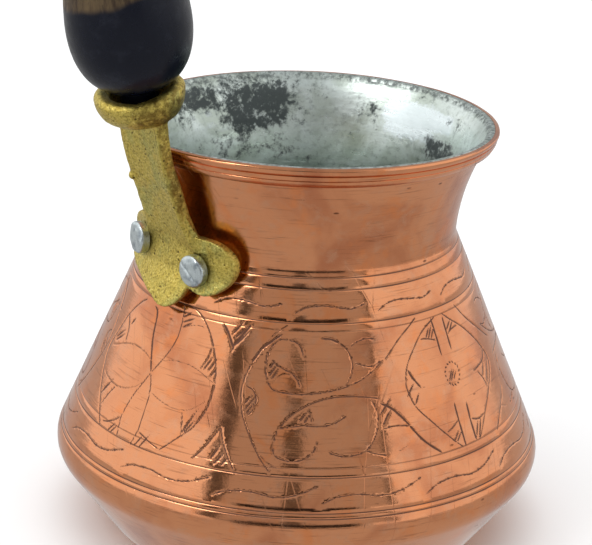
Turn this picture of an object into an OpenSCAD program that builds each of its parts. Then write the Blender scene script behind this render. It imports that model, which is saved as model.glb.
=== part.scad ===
// Turkish coffee pot (cezve): spun copper pot with a tinned inside, a cast brass
// handle bracket held by two rivets, and a turned wooden grip pulled onto the
// bracket's cup by a steel rod.
// Millimetres. Z is the pot's axis, the base stands on Z = 0, the handle is on +X.

/* [Pot] */
// Height from the base to the top of the rim
pot_h = 80.6; // [78:0.1:84]
// Radius of the base, before its corner is rounded
base_r = 36; // [33:0.5:38]
// Radius of the belly, before it is rounded
belly_r = 47.8; // [45:0.2:50]
// Height of the belly
belly_z = 15.6; // [13:0.2:18]
// Radius of the waist, where the cone meets the neck
waist_r = 28.8; // [28:0.1:30]
// Height of the waist
waist_z = 59.9; // [58:0.1:61]
// Radius of the neck just under the rim band
neck_r = 33.5; // [33:0.1:34]
// Outer radius of the rim
rim_r = 36; // [35.6:0.1:36.4]
// Height of the rim band
band_h = 3.2; // [2.8:0.1:3.8]
// Thickness of the copper
copper_t = 1.1; // [0.9:0.1:1.4]
// Thickness of the tin on the inside
tin_t = 0.3; // [0.2:0.05:0.4]

/* [Engraved rings] */
// Width of each turned ring
ring_w = 0.45; // [0.3:0.05:0.7]
// Depth of each turned ring
ring_d = 0.22; // [0.1:0.02:0.35]

/* [Bracket] */
// Thickness of the three-lobed plate
plate_t = 3.1; // [2.6:0.1:3.4]
// Thickness of the plate's face where it stands out past its pad
face_t = 1.5; // [1.2:0.1:2]
// How far the pad behind the face is drawn in
pad_inset = 2.2; // [1.5:0.1:2.5]
// Radius of the plate's side lobes
side_lobe_r = 5.1; // [4.6:0.1:5.4]
// Radius of the plate's bottom lobe
bottom_lobe_r = 4.7; // [4:0.1:5]
// Width of the upright strap
strap_w = 11.2; // [10:0.2:12]
// Thickness of the upright strap
strap_t = 2.6; // [2.2:0.1:2.8]
// Outer radius of the cup
cup_r = 8.2; // [7.8:0.1:8.6]
// Outward lean of the cup and the handle, in degrees
lean = 11; // [9:0.5:13]

/* [Rivets] */
// Radius of each rivet's shank
rivet_r = 1.6; // [1.4:0.1:1.8]
// Radius of each rivet's outer head
rivet_head_r = 3; // [2.8:0.1:3.2]
// Height of each rivet's outer head
rivet_head_h = 1.9; // [1.6:0.1:2.2]

/* [Handle] */
// Length of the wooden grip
grip_l = 104; // [90:1:120]
// Largest radius of the grip's bulb
bulb_r = 11.1; // [10.5:0.1:11.6]
// Smallest radius of the grip
grip_waist_r = 6.9; // [6.5:0.1:7.5]
// Radius of the knob at the grip's far end
knob_r = 9; // [8.5:0.1:9.5]
// Radius of the steel rod through the grip
rod_r = 2; // [1.8:0.1:2.2]

/* [Hidden] */
$fn = 96;
gap = 0.05;

copper = [0.80, 0.48, 0.34];
tin = [0.66, 0.69, 0.68];
brass = [0.70, 0.60, 0.25];
aluminium = [0.72, 0.75, 0.78];
steel = [0.55, 0.56, 0.58];
wood_black = [0.09, 0.09, 0.11];

// Heights of the turned rings, in pairs from the waist down to the belly
ring_zs = [58.6, 56.7, 51.2, 50.0, 27.6, 26.0, 20.2, 19.3];

// Places of the plate's lobes and rivets, as [y, z]
left_lobe = [-9.6, 60.0];
right_lobe = [9.3, 59.5];
bottom_lobe = [1.2, 55.3];
left_rivet = [-9.0, 60.4];
right_rivet = [7.3, 58.6];
// Turn of each rivet's axis about Z, in degrees
left_rivet_turn = -14;
right_rivet_turn = 6;
// Radius from the pot's axis at which each rivet's outer head sits on the plate
rivet_seat_r = 33;
// Length of the rivet between its outer and inner heads
rivet_grip_l = 5.8;

// The strap's middle line, as [x, z], from inside the plate up to the cup
strap_line = [[30.6, 61.6], [31.9, 64.0], [33.4, 67.6], [36.3, 75.0], [37.75, 79.4], [38.6, 83.0], [39.1, 86.9]];
cup_foot = [38.9, 85.4];
cup_h = 6.8;
cup_hole_r = 5.3;
cup_floor = 2;
// Height at which the rod starts, inside the cup's floor
rod_start = 0.5;

grip_z = cup_floor + gap;
washer_t = 1.2;
washer_r = 5.5;
nut_r = 4.2;
nut_h = 6.5;
thread_l = 5;

// ---- geometry helpers ----

function unit(v) = v / norm(v);

// Points of the arc of radius r that rounds the corner b between a and c
function corner(a, b, c, r, n) =
    let (u = unit(a - b), v = unit(c - b),
         half = acos(u * v) / 2,
         centre = b + unit(u + v) * r / sin(half),
         p = b + u * r / tan(half) - centre,
         q = b + v * r / tan(half) - centre,
         start = atan2(p.y, p.x),
         raw = atan2(q.y, q.x) - start,
         sweep = raw > 180 ? raw - 360 : raw < -180 ? raw + 360 : raw)
    [for (i = [0:n]) centre + r * [cos(start + sweep * i / n), sin(start + sweep * i / n)]];

// Points of the curve from a to c that leaves a towards b and meets c from b
function bend(a, b, c, n) =
    [for (i = [0:n]) let (t = i / n) a * (1 - t) * (1 - t) + b * 2 * t * (1 - t) + c * t * t];

// Unit normal on the left of the line of points at point i
function left_of(line, i) =
    let (d = unit(line[min(i + 1, len(line) - 1)] - line[max(i - 1, 0)])) [-d.y, d.x];

// The line of points moved d to its left
function moved(line, d) = [for (i = [0:len(line) - 1]) line[i] + d * left_of(line, i)];

function reversed(line) = [for (i = [len(line) - 1:-1:0]) line[i]];

// ---- the pot's section ----

band_z = pot_h - band_h;
// Outside of the sheet from the base's centre up to the rim band
shell = concat([[0, 0]],
               corner([0, 0], [base_r, 0], [belly_r, belly_z], 3.5, 6),
               corner([base_r, 0], [belly_r, belly_z], [waist_r, waist_z], 5.8, 10),
               bend([waist_r, waist_z], [waist_r + 0.5, waist_z + 9.5], [neck_r, band_z], 10));
tin_lap_r = rim_r - 1;
// Outside of the rolled rim band, with two fine grooves
band = [[neck_r, band_z - 0.1], [rim_r - 1.2, band_z + 0.1], [rim_r - 0.62, pot_h - 2.2],
        [rim_r - 0.72, pot_h - 2.1], [rim_r - 0.52, pot_h - 2], [rim_r - 0.36, pot_h - 1.35],
        [rim_r - 0.5, pot_h - 1.25], [rim_r - 0.3, pot_h - 1.15], [rim_r, pot_h - 0.5],
        [rim_r, pot_h - 0.25], [rim_r - 0.3, pot_h]];
lip = [[tin_lap_r, pot_h], [tin_lap_r, pot_h - 0.2], [tin_lap_r - 0.8, pot_h - 0.2]];
copper_inside = moved(shell, copper_t);
tin_inside = moved(shell, copper_t + tin_t);
tin_top = [tin_lap_r - 1.1, pot_h];

// Radius of the straight cone between the belly and the waist at height z
function cone_r(z) = waist_r + (belly_r - waist_r) * (waist_z - z) / (waist_z - belly_z);

// Places children with their origin at a rivet's seat and +Z out along its axis
module rivet_at(place, turn) {
    translate([sqrt(rivet_seat_r * rivet_seat_r - place.x * place.x), place.x, place.y])
        rotate([0, 0, turn])
            rotate([0, 90, 0])
                children();
}

module rivet_hole() {
    translate([0, 0, -10]) cylinder(h = 12, r = rivet_r + gap);
}

// Hole through the sheet and the plate, with a flat seat for the outer head
module seated_hole() {
    rivet_hole();
    cylinder(h = 8, r = rivet_head_r + gap);
}

module rivet_holes() {
    rivet_at(left_rivet, left_rivet_turn) rivet_hole();
    rivet_at(right_rivet, right_rivet_turn) rivet_hole();
}

module turned_ring(z) {
    translate([cone_r(z), z])
        circle(d = ring_w, $fn = 4);
}

// ---- sub-parts ----

module pot_body() {
    color(copper)
        difference() {
            rotate_extrude()
                difference() {
                    polygon(concat(shell, band, lip, reversed(copper_inside)));
                    for (z = ring_zs)
                        turned_ring(z);
                }
            rivet_holes();
        }
}

module tin_lining() {
    color(tin)
        difference() {
            rotate_extrude()
                polygon(concat(copper_inside, reversed(lip), [tin_top], reversed(tin_inside)));
            rivet_holes();
        }
}

// Outline of the plate, seen along -X, drawn in by the inset
module plate_outline(inset) {
    side_r = side_lobe_r - inset;
    bottom_r = bottom_lobe_r - inset;
    translate(left_lobe) circle(r = side_r);
    translate(right_lobe) circle(r = side_r);
    translate(bottom_lobe) circle(r = bottom_r);
    polygon([left_lobe + [0, side_r], right_lobe + [0, side_r],
             right_lobe + [0, -side_r + 0.6], bottom_lobe + [bottom_r - 0.6, -0.4],
             bottom_lobe + [-2.6, -bottom_r + 0.8], left_lobe + [-1.6, -side_r + 0.3]]);
}

// Front face of the plate, as [r, z]
plate_low = waist_z - 12;
plate_high = waist_z + 8;
plate_front = [[cone_r(plate_low) + plate_t - 0.1, plate_low], [waist_r + plate_t + 1.1, waist_z - 2.4],
               [waist_r + plate_t + 0.7, waist_z + 1.6], [waist_r + plate_t + 1.3, plate_high]];

// Section of the plate's pad, which follows the cone, the waist and the neck
module pad_section() {
    back = [[cone_r(plate_low), plate_low], [waist_r, waist_z], [waist_r + 0.9, plate_high]];
    polygon(concat([for (p = back) p + [gap, 0]], reversed(plate_front)));
}

// Section of the plate's thin face, which stands out past the pad all round
module face_section() {
    polygon(concat([for (p = plate_front) p - [face_t, 0]], reversed(plate_front)));
}

module plate_part(inset) {
    intersection() {
        rotate_extrude() children();
        rotate([90, 0, 90]) linear_extrude(height = 60) plate_outline(inset);
    }
}

// Side of the strap, between its two faces
module strap_side() {
    polygon(concat(moved(strap_line, strap_t / 2), reversed(moved(strap_line, -strap_t / 2))));
}

// Front of the strap, as [y, z]
module strap_front() {
    half = strap_w / 2;
    edge = concat(bend([half + 3.4, 60], [half, 64.5], [half, 70], 6), [[half - 0.1, 78], [half - 0.4, 88]]);
    polygon(concat(edge, reversed([for (p = edge) [-p.x, p.y]])));
}

module cup_frame() {
    translate([cup_foot.x, 0, cup_foot.y])
        rotate([0, lean, 0])
            children();
}

// Half section of the cup: rounded foot, thick rolled lip and open hollow
module cup_section() {
    lip_r = (cup_r - cup_hole_r) / 2;
    lip_mid = [cup_r - lip_r, cup_h - lip_r];
    outside = bend([4.3, 0.7], [7.6, 1.4], [cup_r, lip_mid.y], 8);
    top = [for (a = [15:15:165]) lip_mid + lip_r * [cos(a), sin(a)]];
    polygon(concat([[0, 0.1]], outside, top,
                   [[cup_hole_r, lip_mid.y], [cup_hole_r, cup_floor + 0.8], [cup_hole_r - 0.8, cup_floor],
                    [0, cup_floor]]));
}

module handle_bracket() {
    color(brass)
        difference() {
            union() {
                plate_part(0) face_section();
                plate_part(pad_inset) pad_section();
                intersection() {
                    rotate([90, 0, 0]) linear_extrude(height = 40, center = true) strap_side();
                    rotate([90, 0, 90]) linear_extrude(height = 60) strap_front();
                }
                cup_frame() rotate_extrude() cup_section();
            }
            rivet_at(left_rivet, left_rivet_turn) seated_hole();
            rivet_at(right_rivet, right_rivet_turn) seated_hole();
            cup_frame() translate([0, 0, rod_start - gap]) cylinder(h = 30, r = rod_r + gap);
        }
}

// One rivet: hammered outer head on the plate, shank, and a low head inside the pot
module rivet(place, turn) {
    head = rivet_head_r;
    high = rivet_head_h;
    inner_head_t = 0.9;
    color(aluminium)
        rivet_at(place, turn)
            rotate_extrude()
                polygon([[0, -rivet_grip_l - inner_head_t], [head - 0.7, -rivet_grip_l - inner_head_t],
                         [head - 0.4, -rivet_grip_l - 0.4], [head - 0.4, -rivet_grip_l],
                         [rivet_r, -rivet_grip_l], [rivet_r, 0], [head, 0],
                         [head, high - 0.5], [head - 0.5, high], [0, high]]);
}

module rivet_left() {
    rivet(left_rivet, left_rivet_turn);
}

module rivet_right() {
    rivet(right_rivet, right_rivet_turn);
}

// Half section of the grip from its seat in the cup, as [r, z]
spigot_r = 3.4;
spigot_l = 5.2;
bulb_foot_r = cup_hole_r - 0.3;
bulb_z = spigot_l + 11.6;
shoulder = [bulb_r - 2.5, bulb_z + 17];
waist_at = 0.48 * grip_l;
knob_at = grip_l - 9;
grip_side = concat(
    [[spigot_r, spigot_l]],
    bend([bulb_foot_r, spigot_l], [bulb_r - 0.1, spigot_l + 2.5], [bulb_r, bulb_z], 12),
    bend([bulb_r, bulb_z + 0.5], [bulb_r - 0.1, bulb_z + 6], shoulder, 8),
    bend(shoulder + [-0.3, 1.4], [grip_waist_r, shoulder.y + 8], [grip_waist_r, waist_at], 6),
    bend([grip_waist_r, waist_at + 4], [grip_waist_r + 0.2, 0.66 * grip_l], [grip_waist_r + 1.2, 0.78 * grip_l], 6),
    bend([grip_waist_r + 1.4, 0.8 * grip_l], [knob_r, 0.86 * grip_l], [knob_r, knob_at], 5),
    bend([knob_r, knob_at + 1], [knob_r, grip_l], [washer_r - 0.5, grip_l], 8));

module handle_grip() {
    color(wood_black)
        cup_frame()
            translate([0, 0, grip_z])
                rotate_extrude()
                    polygon(concat([[rod_r + gap, 0], [spigot_r - 0.6, 0], [spigot_r, 0.6]], grip_side,
                                   [[rod_r + gap, grip_l]]));
}

grip_top = grip_z + grip_l;

module handle_rod() {
    color(steel)
        cup_frame() {
            translate([0, 0, rod_start])
                cylinder(h = grip_top + washer_t + thread_l - rod_start, r = rod_r);
        }
}

module end_washer() {
    color(brass)
        cup_frame()
            translate([0, 0, grip_top])
                difference() {
                    cylinder(h = washer_t, r = washer_r);
                    translate([0, 0, -1]) cylinder(h = washer_t + 2, r = rod_r + gap);
                }
}

module end_nut() {
    color(brass)
        cup_frame()
            translate([0, 0, grip_top + washer_t])
                difference() {
                    union() {
                        cylinder(h = nut_h - 3, r = nut_r, $fn = 6);
                        translate([0, 0, nut_h - 3.2])
                            rotate_extrude()
                                polygon(concat([[0, 0]], [for (a = [0:15:90]) [3.4 * cos(a), 3.2 * sin(a)]]));
                    }
                    translate([0, 0, -1]) cylinder(h = thread_l + 1.05, r = rod_r + gap);
                }
}

pot_body();
tin_lining();
handle_bracket();
rivet_left();
rivet_right();
handle_rod();
handle_grip();
end_washer();
end_nut();
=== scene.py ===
import math

import bmesh
import bpy
import numpy as np
from bpy.props import FloatProperty, FloatVectorProperty, IntProperty, PointerProperty
from mathutils import Matrix, Vector, kdtree, noise


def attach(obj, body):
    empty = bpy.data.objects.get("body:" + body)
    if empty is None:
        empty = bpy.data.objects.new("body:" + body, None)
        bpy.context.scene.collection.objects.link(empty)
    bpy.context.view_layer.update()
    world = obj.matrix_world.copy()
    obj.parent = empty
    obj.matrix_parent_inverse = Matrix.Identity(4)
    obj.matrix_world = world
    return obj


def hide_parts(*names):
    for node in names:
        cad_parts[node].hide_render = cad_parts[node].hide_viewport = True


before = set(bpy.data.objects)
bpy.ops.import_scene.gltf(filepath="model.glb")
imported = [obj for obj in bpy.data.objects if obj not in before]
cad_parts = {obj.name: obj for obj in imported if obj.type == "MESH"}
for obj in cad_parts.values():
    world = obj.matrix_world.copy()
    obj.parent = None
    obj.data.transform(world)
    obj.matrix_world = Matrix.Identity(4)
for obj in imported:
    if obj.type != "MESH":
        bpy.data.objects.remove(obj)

bl_info = {
    "name": "Engraved copper coffee pot",
    "version": (1, 0, 0),
    "blender": (4, 5, 0),
    "location": "View3D > Sidebar > Coffee pot",
    "description": "Models an engraved copper cezve with a riveted brass bracket and a turned wooden grip",
    "category": "Add Mesh",
}

MM = 0.001
# Distance in metres below which two points count as one
NO_LENGTH = 1e-7
FULL_TURN = 2 * math.pi
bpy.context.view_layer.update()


# ---------------------------------------------------------------- sizes and colours

def length(name, description, default):
    return FloatProperty(name=name, description=description, default=default, unit="LENGTH")


def tint(name, description, default):
    return FloatVectorProperty(name=name, description=description, default=default,
                               subtype="COLOR", size=3, min=0, max=1)


class PotSize(bpy.types.PropertyGroup):
    pot_h: length("Height", "From the base to the rim", 0.0806)
    base_r: length("Base radius", "Before its corner is rounded", 0.036)
    belly_r: length("Belly radius", "Before it is rounded", 0.0478)
    belly_z: length("Belly height", "Height of the widest point", 0.0156)
    waist_r: length("Waist radius", "Where the cone meets the neck", 0.0288)
    waist_z: length("Waist height", "Where the cone meets the neck", 0.0599)
    neck_r: length("Neck radius", "Just under the rim band", 0.0335)
    rim_r: length("Rim radius", "Outer radius of the rim", 0.036)
    band_h: length("Rim band height", "Height of the rolled band", 0.0032)
    copper_t: length("Copper thickness", "Thickness of the sheet", 0.0011)
    tin_t: length("Tin thickness", "Thickness of the lining", 0.0003)
    line_w: length("Engraved line width", "Width of a plain engraved line", 0.00038)
    line_d: length("Engraved line depth", "Depth of a plain engraved line", 0.00012)
    columns: IntProperty(name="Columns", description="Faces round the pot before refining",
                         default=132, min=48)
    copper: tint("Copper", "Clean burnished copper", (0.70, 0.295, 0.142))
    copper_stain: tint("Copper stain", "Orange heat stains", (0.74, 0.235, 0.075))
    copper_dull: tint("Dull copper", "Duller, browner patches", (0.52, 0.19, 0.09))
    copper_haze: tint("Copper haze", "Pale, dusty bloom on the copper", (0.62, 0.33, 0.20))
    line_dark: tint("Line grime", "Grime in the engraved lines", (0.10, 0.035, 0.018))
    tin: tint("Tin", "Wiped tin", (0.70, 0.77, 0.74))
    tin_pale: tint("Pale tin", "Clean bright patches of the tin", (0.78, 0.86, 0.88))
    tin_stain: tint("Tin stain", "Dark stains on the tin", (0.035, 0.045, 0.045))


class BracketSize(bpy.types.PropertyGroup):
    plate_t: length("Plate thickness", "Thickness of the three-lobed plate", 0.0031)
    face_t: length("Face thickness", "Thickness of the plate's face past its pad", 0.0015)
    pad_inset: length("Pad inset", "How far the pad behind the face is drawn in", 0.0022)
    side_lobe_r: length("Side lobe radius", "Radius of the upper lobes", 0.0051)
    bottom_lobe_r: length("Bottom lobe radius", "Radius of the bottom lobe", 0.0047)
    strap_w: length("Strap width", "Width of the upright strap", 0.0112)
    strap_t: length("Strap thickness", "Thickness of the upright strap", 0.0026)
    cup_r: length("Cup radius", "Outer radius of the cup's lip", 0.0082)
    cup_h: length("Cup height", "From its foot to the top of its lip", 0.0068)
    cup_hole_r: length("Cup hollow radius", "Inner radius of the cup", 0.0053)
    cup_floor: length("Cup floor", "Height of the floor in the cup", 0.0020)
    foot_x: length("Cup foot X", "Distance of the cup's foot from the pot's axis", 0.0389)
    foot_z: length("Cup foot Z", "Height of the cup's foot", 0.0854)
    lean: FloatProperty(name="Lean", description="Outward lean of the cup and handle",
                        default=math.radians(11), subtype="ANGLE")
    brass: tint("Brass", "Rough cast brass", (0.58, 0.45, 0.10))
    brass_dark: tint("Dark brass", "Tarnish in the pits", (0.05, 0.035, 0.012))
    brass_green: tint("Green brass", "Greenish tarnish", (0.40, 0.40, 0.13))


class RivetSize(bpy.types.PropertyGroup):
    shank_r: length("Shank radius", "Radius of the rivet's shank", 0.0016)
    head_r: length("Head radius", "Radius of the outer head", 0.0030)
    head_h: length("Head height", "Height of the outer head", 0.0019)
    seat_r: length("Seat radius", "Distance of the seat from the pot's axis", 0.033)
    grip_l: length("Grip length", "Between the outer and inner heads", 0.0058)
    aluminium: tint("Aluminium", "Hammered aluminium", (0.56, 0.62, 0.63))


class GripSize(bpy.types.PropertyGroup):
    grip_l: length("Length", "Length of the wood", 0.104)
    bulb_r: length("Bulb radius", "Largest radius, near the cup", 0.0111)
    waist_r: length("Waist radius", "Smallest radius", 0.0069)
    knob_r: length("Knob radius", "Radius near the far end", 0.009)
    tenon_r: length("Tenon radius", "Radius of the wood's end inside the cup", 0.0034)
    tenon_l: length("Tenon length", "Length of the wood's end inside the cup", 0.0052)
    rod_r: length("Rod radius", "Radius of the steel rod", 0.002)
    washer_t: length("Washer thickness", "Thickness of the washer", 0.0012)
    washer_r: length("Washer radius", "Radius of the washer", 0.0055)
    nut_r: length("Nut radius", "Across the nut's corners", 0.0042)
    nut_h: length("Nut height", "With its dome", 0.0065)
    black_top: length("Black zone", "Height of the black lacquer at the cup's end", 0.0255)
    black: tint("Black lacquer", "Near-black lacquer", (0.0024, 0.0036, 0.0100))
    wood: tint("Wood", "Natural olive-brown wood", (0.080, 0.052, 0.025))
    steel: tint("Steel", "Plain steel", (0.42, 0.42, 0.43))


class StageSize(bpy.types.PropertyGroup):
    camera_distance: length("Camera distance", "Across the floor from the pot's axis", 0.4177)
    camera_height: length("Camera height", "Above the floor", 0.1961)
    camera_turn: FloatProperty(name="Camera turn", description="From the handle's side round the pot",
                               default=math.radians(48.5), subtype="ANGLE")
    camera_roll: FloatProperty(name="Camera roll", description="Turn about the line of sight",
                               default=math.radians(2.2), subtype="ANGLE")
    aim: FloatVectorProperty(name="Aim", description="Point that the camera looks at",
                             default=(0.0010, -0.0009, 0.0495), subtype="XYZ", unit="LENGTH")
    lens: FloatProperty(name="Lens", description="Focal length in millimetres", default=139.9)
    floor: tint("Floor", "Pale floor", (0.93, 0.93, 0.93))


# ---------------------------------------------------------------- drawing helpers

def corner(a, b, c, radius, steps):
    """Points of the arc that rounds the corner b between a and c."""
    a, b, c = Vector(a), Vector(b), Vector(c)
    u, v = (a - b).normalized(), (c - b).normalized()
    half = u.angle(v) / 2
    centre = b + (u + v).normalized() * radius / math.sin(half)
    start, end = b + u * radius / math.tan(half) - centre, b + v * radius / math.tan(half) - centre
    first = math.atan2(start.y, start.x)
    sweep = math.atan2(end.y, end.x) - first
    sweep -= FULL_TURN * round(sweep / FULL_TURN)
    turns = [first + sweep * i / steps for i in range(steps + 1)]
    return [centre + radius * Vector((math.cos(turn), math.sin(turn))) for turn in turns]


def bend(a, b, c, steps):
    """Points of the curve that leaves a towards b and reaches c from b."""
    a, b, c = Vector(a), Vector(b), Vector(c)
    return [a * (1 - t) ** 2 + b * 2 * t * (1 - t) + c * t * t
            for t in (i / steps for i in range(steps + 1))]


def straight(a, b, step):
    """Points from a to b, ends included, at most a step apart."""
    a, b = Vector(a), Vector(b)
    count = max(1, math.ceil((b - a).length / step))
    return [a.lerp(b, i / count) for i in range(count + 1)]


def smooth_line(points, step):
    """Points a step apart on the smooth curve through the given ones."""
    points = [Vector(p) for p in points]
    if len(points) == 2:
        return straight(points[0], points[1], step)
    padded = [points[0] * 2 - points[1], *points, points[-1] * 2 - points[-2]]
    line = []
    for p, q, r, s in zip(padded, padded[1:], padded[2:], padded[3:]):
        count = max(1, math.ceil((r - q).length / step))
        for i in range(count):
            t = i / count
            line.append(q * 1.0 + (r - p) * (t / 2) + (p * 2 - q * 5 + r * 4 - s) * (t * t / 2)
                        + (q * 3 - p - r * 3 + s) * (t ** 3 / 2))
    return [*line, points[-1]]


def moved(line, offset):
    """The line moved to its left by the offset."""
    result = []
    for i, point in enumerate(line):
        along = (line[min(i + 1, len(line) - 1)] - line[max(i - 1, 0)]).normalized()
        result.append(point + offset * Vector((-along.y, along.x)))
    return result


def tidy_line(line):
    """The line without points that repeat the one before."""
    kept = [line[0]]
    kept += [q for p, q in zip(line, line[1:]) if (Vector(q) - Vector(p)).length > NO_LENGTH]
    return kept


# ---------------------------------------------------------------- modelling helpers

def nothing_selected():
    if bpy.context.mode != "OBJECT":
        bpy.ops.object.mode_set(mode="OBJECT")
    bpy.ops.object.select_all(action="DESELECT")


def only(obj):
    nothing_selected()
    obj.select_set(True)
    bpy.context.view_layer.objects.active = obj


def added(name):
    """The primitive just added, under its own name."""
    obj = bpy.context.active_object
    obj.name = name
    obj.data.name = name
    return obj


def settle(obj, place=None):
    """Puts the object in its place, if one is given; its place, turn and scale then go into its mesh."""
    if place is not None:
        obj.matrix_world = place
    only(obj)
    bpy.ops.object.transform_apply(location=True, rotation=True, scale=True)


def joined(first, *others):
    nothing_selected()
    for obj in (first, *others):
        obj.select_set(True)
    bpy.context.view_layer.objects.active = first
    bpy.ops.object.join()
    return first


def applied(obj, kind, **settings):
    """Adds a modifier, sets it and applies it."""
    only(obj)
    modifier = obj.modifiers.new(kind.title(), kind)
    for key, value in settings.items():
        setattr(modifier, key, value)
    bpy.ops.object.modifier_apply(modifier=modifier.name)


def cut_with(obj, cutter):
    applied(obj, "BOOLEAN", operation="DIFFERENCE", solver="EXACT", object=cutter)
    bpy.data.objects.remove(cutter, do_unlink=True)


def facing_out():
    """In edit mode: turns every face outwards, and goes back to object mode."""
    bpy.ops.mesh.select_all(action="SELECT")
    bpy.ops.mesh.normals_make_consistent(inside=False)
    bpy.ops.object.mode_set(mode="OBJECT")


def lathe(name, section, steps, closed=False):
    """A turned solid: its half section is drawn point by point, then spun round Z."""
    section = tidy_line([Vector(p) for p in section])
    nothing_selected()
    bpy.ops.mesh.primitive_plane_add(size=MM)
    obj = added(name)
    bpy.ops.object.mode_set(mode="EDIT")
    mesh = bmesh.from_edit_mesh(obj.data)
    mesh.verts.ensure_lookup_table()
    bmesh.ops.delete(mesh, geom=mesh.verts[1:], context="VERTS")
    mesh.verts.ensure_lookup_table()
    mesh.verts[0].co = (section[0].x, 0, section[0].y)
    mesh.verts[0].select_set(True)
    bmesh.update_edit_mesh(obj.data)
    here = section[0]
    for point in section[1:] + ([section[0]] if closed else []):
        step = point - here
        bpy.ops.mesh.extrude_region_move(TRANSFORM_OT_translate={"value": (step.x, 0, step.y)})
        here = point
    bpy.ops.mesh.select_all(action="SELECT")
    bpy.ops.mesh.spin(steps=steps, angle=FULL_TURN, center=(0, 0, 0), axis=(0, 0, 1))
    bpy.ops.mesh.select_all(action="SELECT")
    bpy.ops.mesh.remove_doubles(threshold=NO_LENGTH)
    facing_out()
    return obj


def points_of(obj):
    places = np.empty(len(obj.data.vertices) * 3)
    obj.data.vertices.foreach_get("co", places)
    return places.reshape(-1, 3)


def set_points(obj, places):
    obj.data.vertices.foreach_set("co", places.reshape(-1))
    obj.data.update()


def normals_of(obj):
    normals = np.empty(len(obj.data.vertices) * 3)
    obj.data.vertices.foreach_get("normal", normals)
    return normals.reshape(-1, 3)


def noise_at(places, size, seed=0.0):
    """Smooth noise from -1 to 1 at each place, in lumps of about the given size."""
    return np.array([noise.noise(Vector(p) / size + Vector((seed, seed * 2, -seed))) for p in places])


def roughened(obj, layers, where=None):
    """Moves the surface in and out by layers of (size, height, seed)."""
    places, normals = points_of(obj), normals_of(obj)
    chosen = np.ones(len(places), bool) if where is None else where(places, normals)
    lift = np.zeros(len(places))
    for size, height, seed in layers:
        lift[chosen] += height * noise_at(places[chosen], size, seed)
    set_points(obj, places + normals * lift[:, None])


def store(obj, name, values):
    attribute = obj.data.attributes.new(name, "FLOAT", "POINT")
    attribute.data.foreach_set("value", np.asarray(values, np.float32))


def smooth(obj, angle=40):
    only(obj)
    bpy.ops.object.shade_smooth_by_angle(angle=math.radians(angle))


def finished(obj, slot, material, *nodes):
    """Gives a finished piece its place in the frame, its material and the nodes it stands for. The slot is
    not used.
    """
    obj.data.materials.clear()
    obj.data.materials.append(material)
    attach(obj, "root")
    if nodes:
        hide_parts(*nodes)


def cup_frame(bracket):
    """Places what is made round Z on the leaning axis of the cup and the handle."""
    return (Matrix.Translation((bracket.foot_x, 0, bracket.foot_z))
            @ Matrix.Rotation(bracket.lean, 4, "Y"))


# ---------------------------------------------------------------- the pot's shape

# Turned rings round the cone: height in millimetres and strength
RINGS = [
    (58.7, 1.0), (56.7, 1.0), (51.2, 1.1), (49.9, 0.7), (27.4, 0.7), (25.9, 1.1), (20.1, 1.1),
    (19.2, 1.1),
]
# Half width of a ring's groove, rounding of the pot's corners, and play between two pieces
RING_HALF = 0.2 * MM
FOOT_ROUND = 3.5 * MM
BELLY_ROUND = 5.8 * MM
WAIST_ROUND = 3.0 * MM
GAP = 0.05 * MM


def cone_r(pot, z):
    return pot.waist_r + (pot.belly_r - pot.waist_r) * (pot.waist_z - z) / (pot.waist_z - pot.belly_z)


def cone_rows(pot, low, high):
    """Heights of the rows of faces on the cone: even rows, and close ones across each ring."""
    rings = [z * MM for z, _ in RINGS]
    count = round((high - low) / (1.3 * MM))
    rows = [low + (high - low) * i / count for i in range(count + 1)]
    rows = [z for z in rows if min(abs(z - ring) for ring in rings) > 2.2 * RING_HALF]
    rows += [ring + RING_HALF * k for ring in rings for k in (-1, -0.5, 0, 0.5, 1)]
    return [(cone_r(pot, z), z) for z in sorted(rows)]


def pot_sheet(pot, fine=True):
    """Outside of the copper sheet, from the base's centre up to the rim band."""
    base, belly, waist = (pot.base_r, 0), (pot.belly_r, pot.belly_z), (pot.waist_r, pot.waist_z)
    pull = (pot.waist_r + 0.5 * MM, pot.waist_z + 9.5 * MM)
    neck = (pot.neck_r, pot.pot_h - pot.band_h)
    foot = corner((0, 0), base, belly, FOOT_ROUND, 8 if fine else 4)
    turn = corner(base, belly, waist, BELLY_ROUND, 14 if fine else 6)
    crease = corner(belly, waist, pull, WAIST_ROUND, 7)
    step = (1.3 if fine else 6) * MM
    cone = cone_rows(pot, turn[-1].y, crease[0].y) if fine else []
    line = [*straight((0, 0), foot[0], 3 * MM), *foot, *straight(foot[-1], turn[0], step), *turn,
            *cone, *crease, *bend(crease[-1], pull, neck, 26 if fine else 8)]
    return tidy_line([Vector(p) for p in line])


def rim_band(pot):
    """Outside of the rolled band, with two fine grooves, up to the rim's top edge."""
    top, rim, low = pot.pot_h, pot.rim_r, pot.pot_h - pot.band_h
    outline = [(pot.neck_r + 0.1 * MM, low - 0.1 * MM), (rim - 1.25 * MM, low + 0.02 * MM),
               (rim - 1.0 * MM, low + 0.18 * MM), (rim - 0.60 * MM, top - 2.22 * MM),
               (rim - 0.70 * MM, top - 2.12 * MM), (rim - 0.54 * MM, top - 2.0 * MM),
               (rim - 0.38 * MM, top - 1.35 * MM), (rim - 0.54 * MM, top - 1.24 * MM),
               (rim - 0.34 * MM, top - 1.12 * MM)]
    return [Vector(p) for p in outline] + corner(outline[-1], (rim + 0.05 * MM, top - 0.1 * MM),
                                                 (rim - 1 * MM, top), 0.42 * MM, 8)


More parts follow.
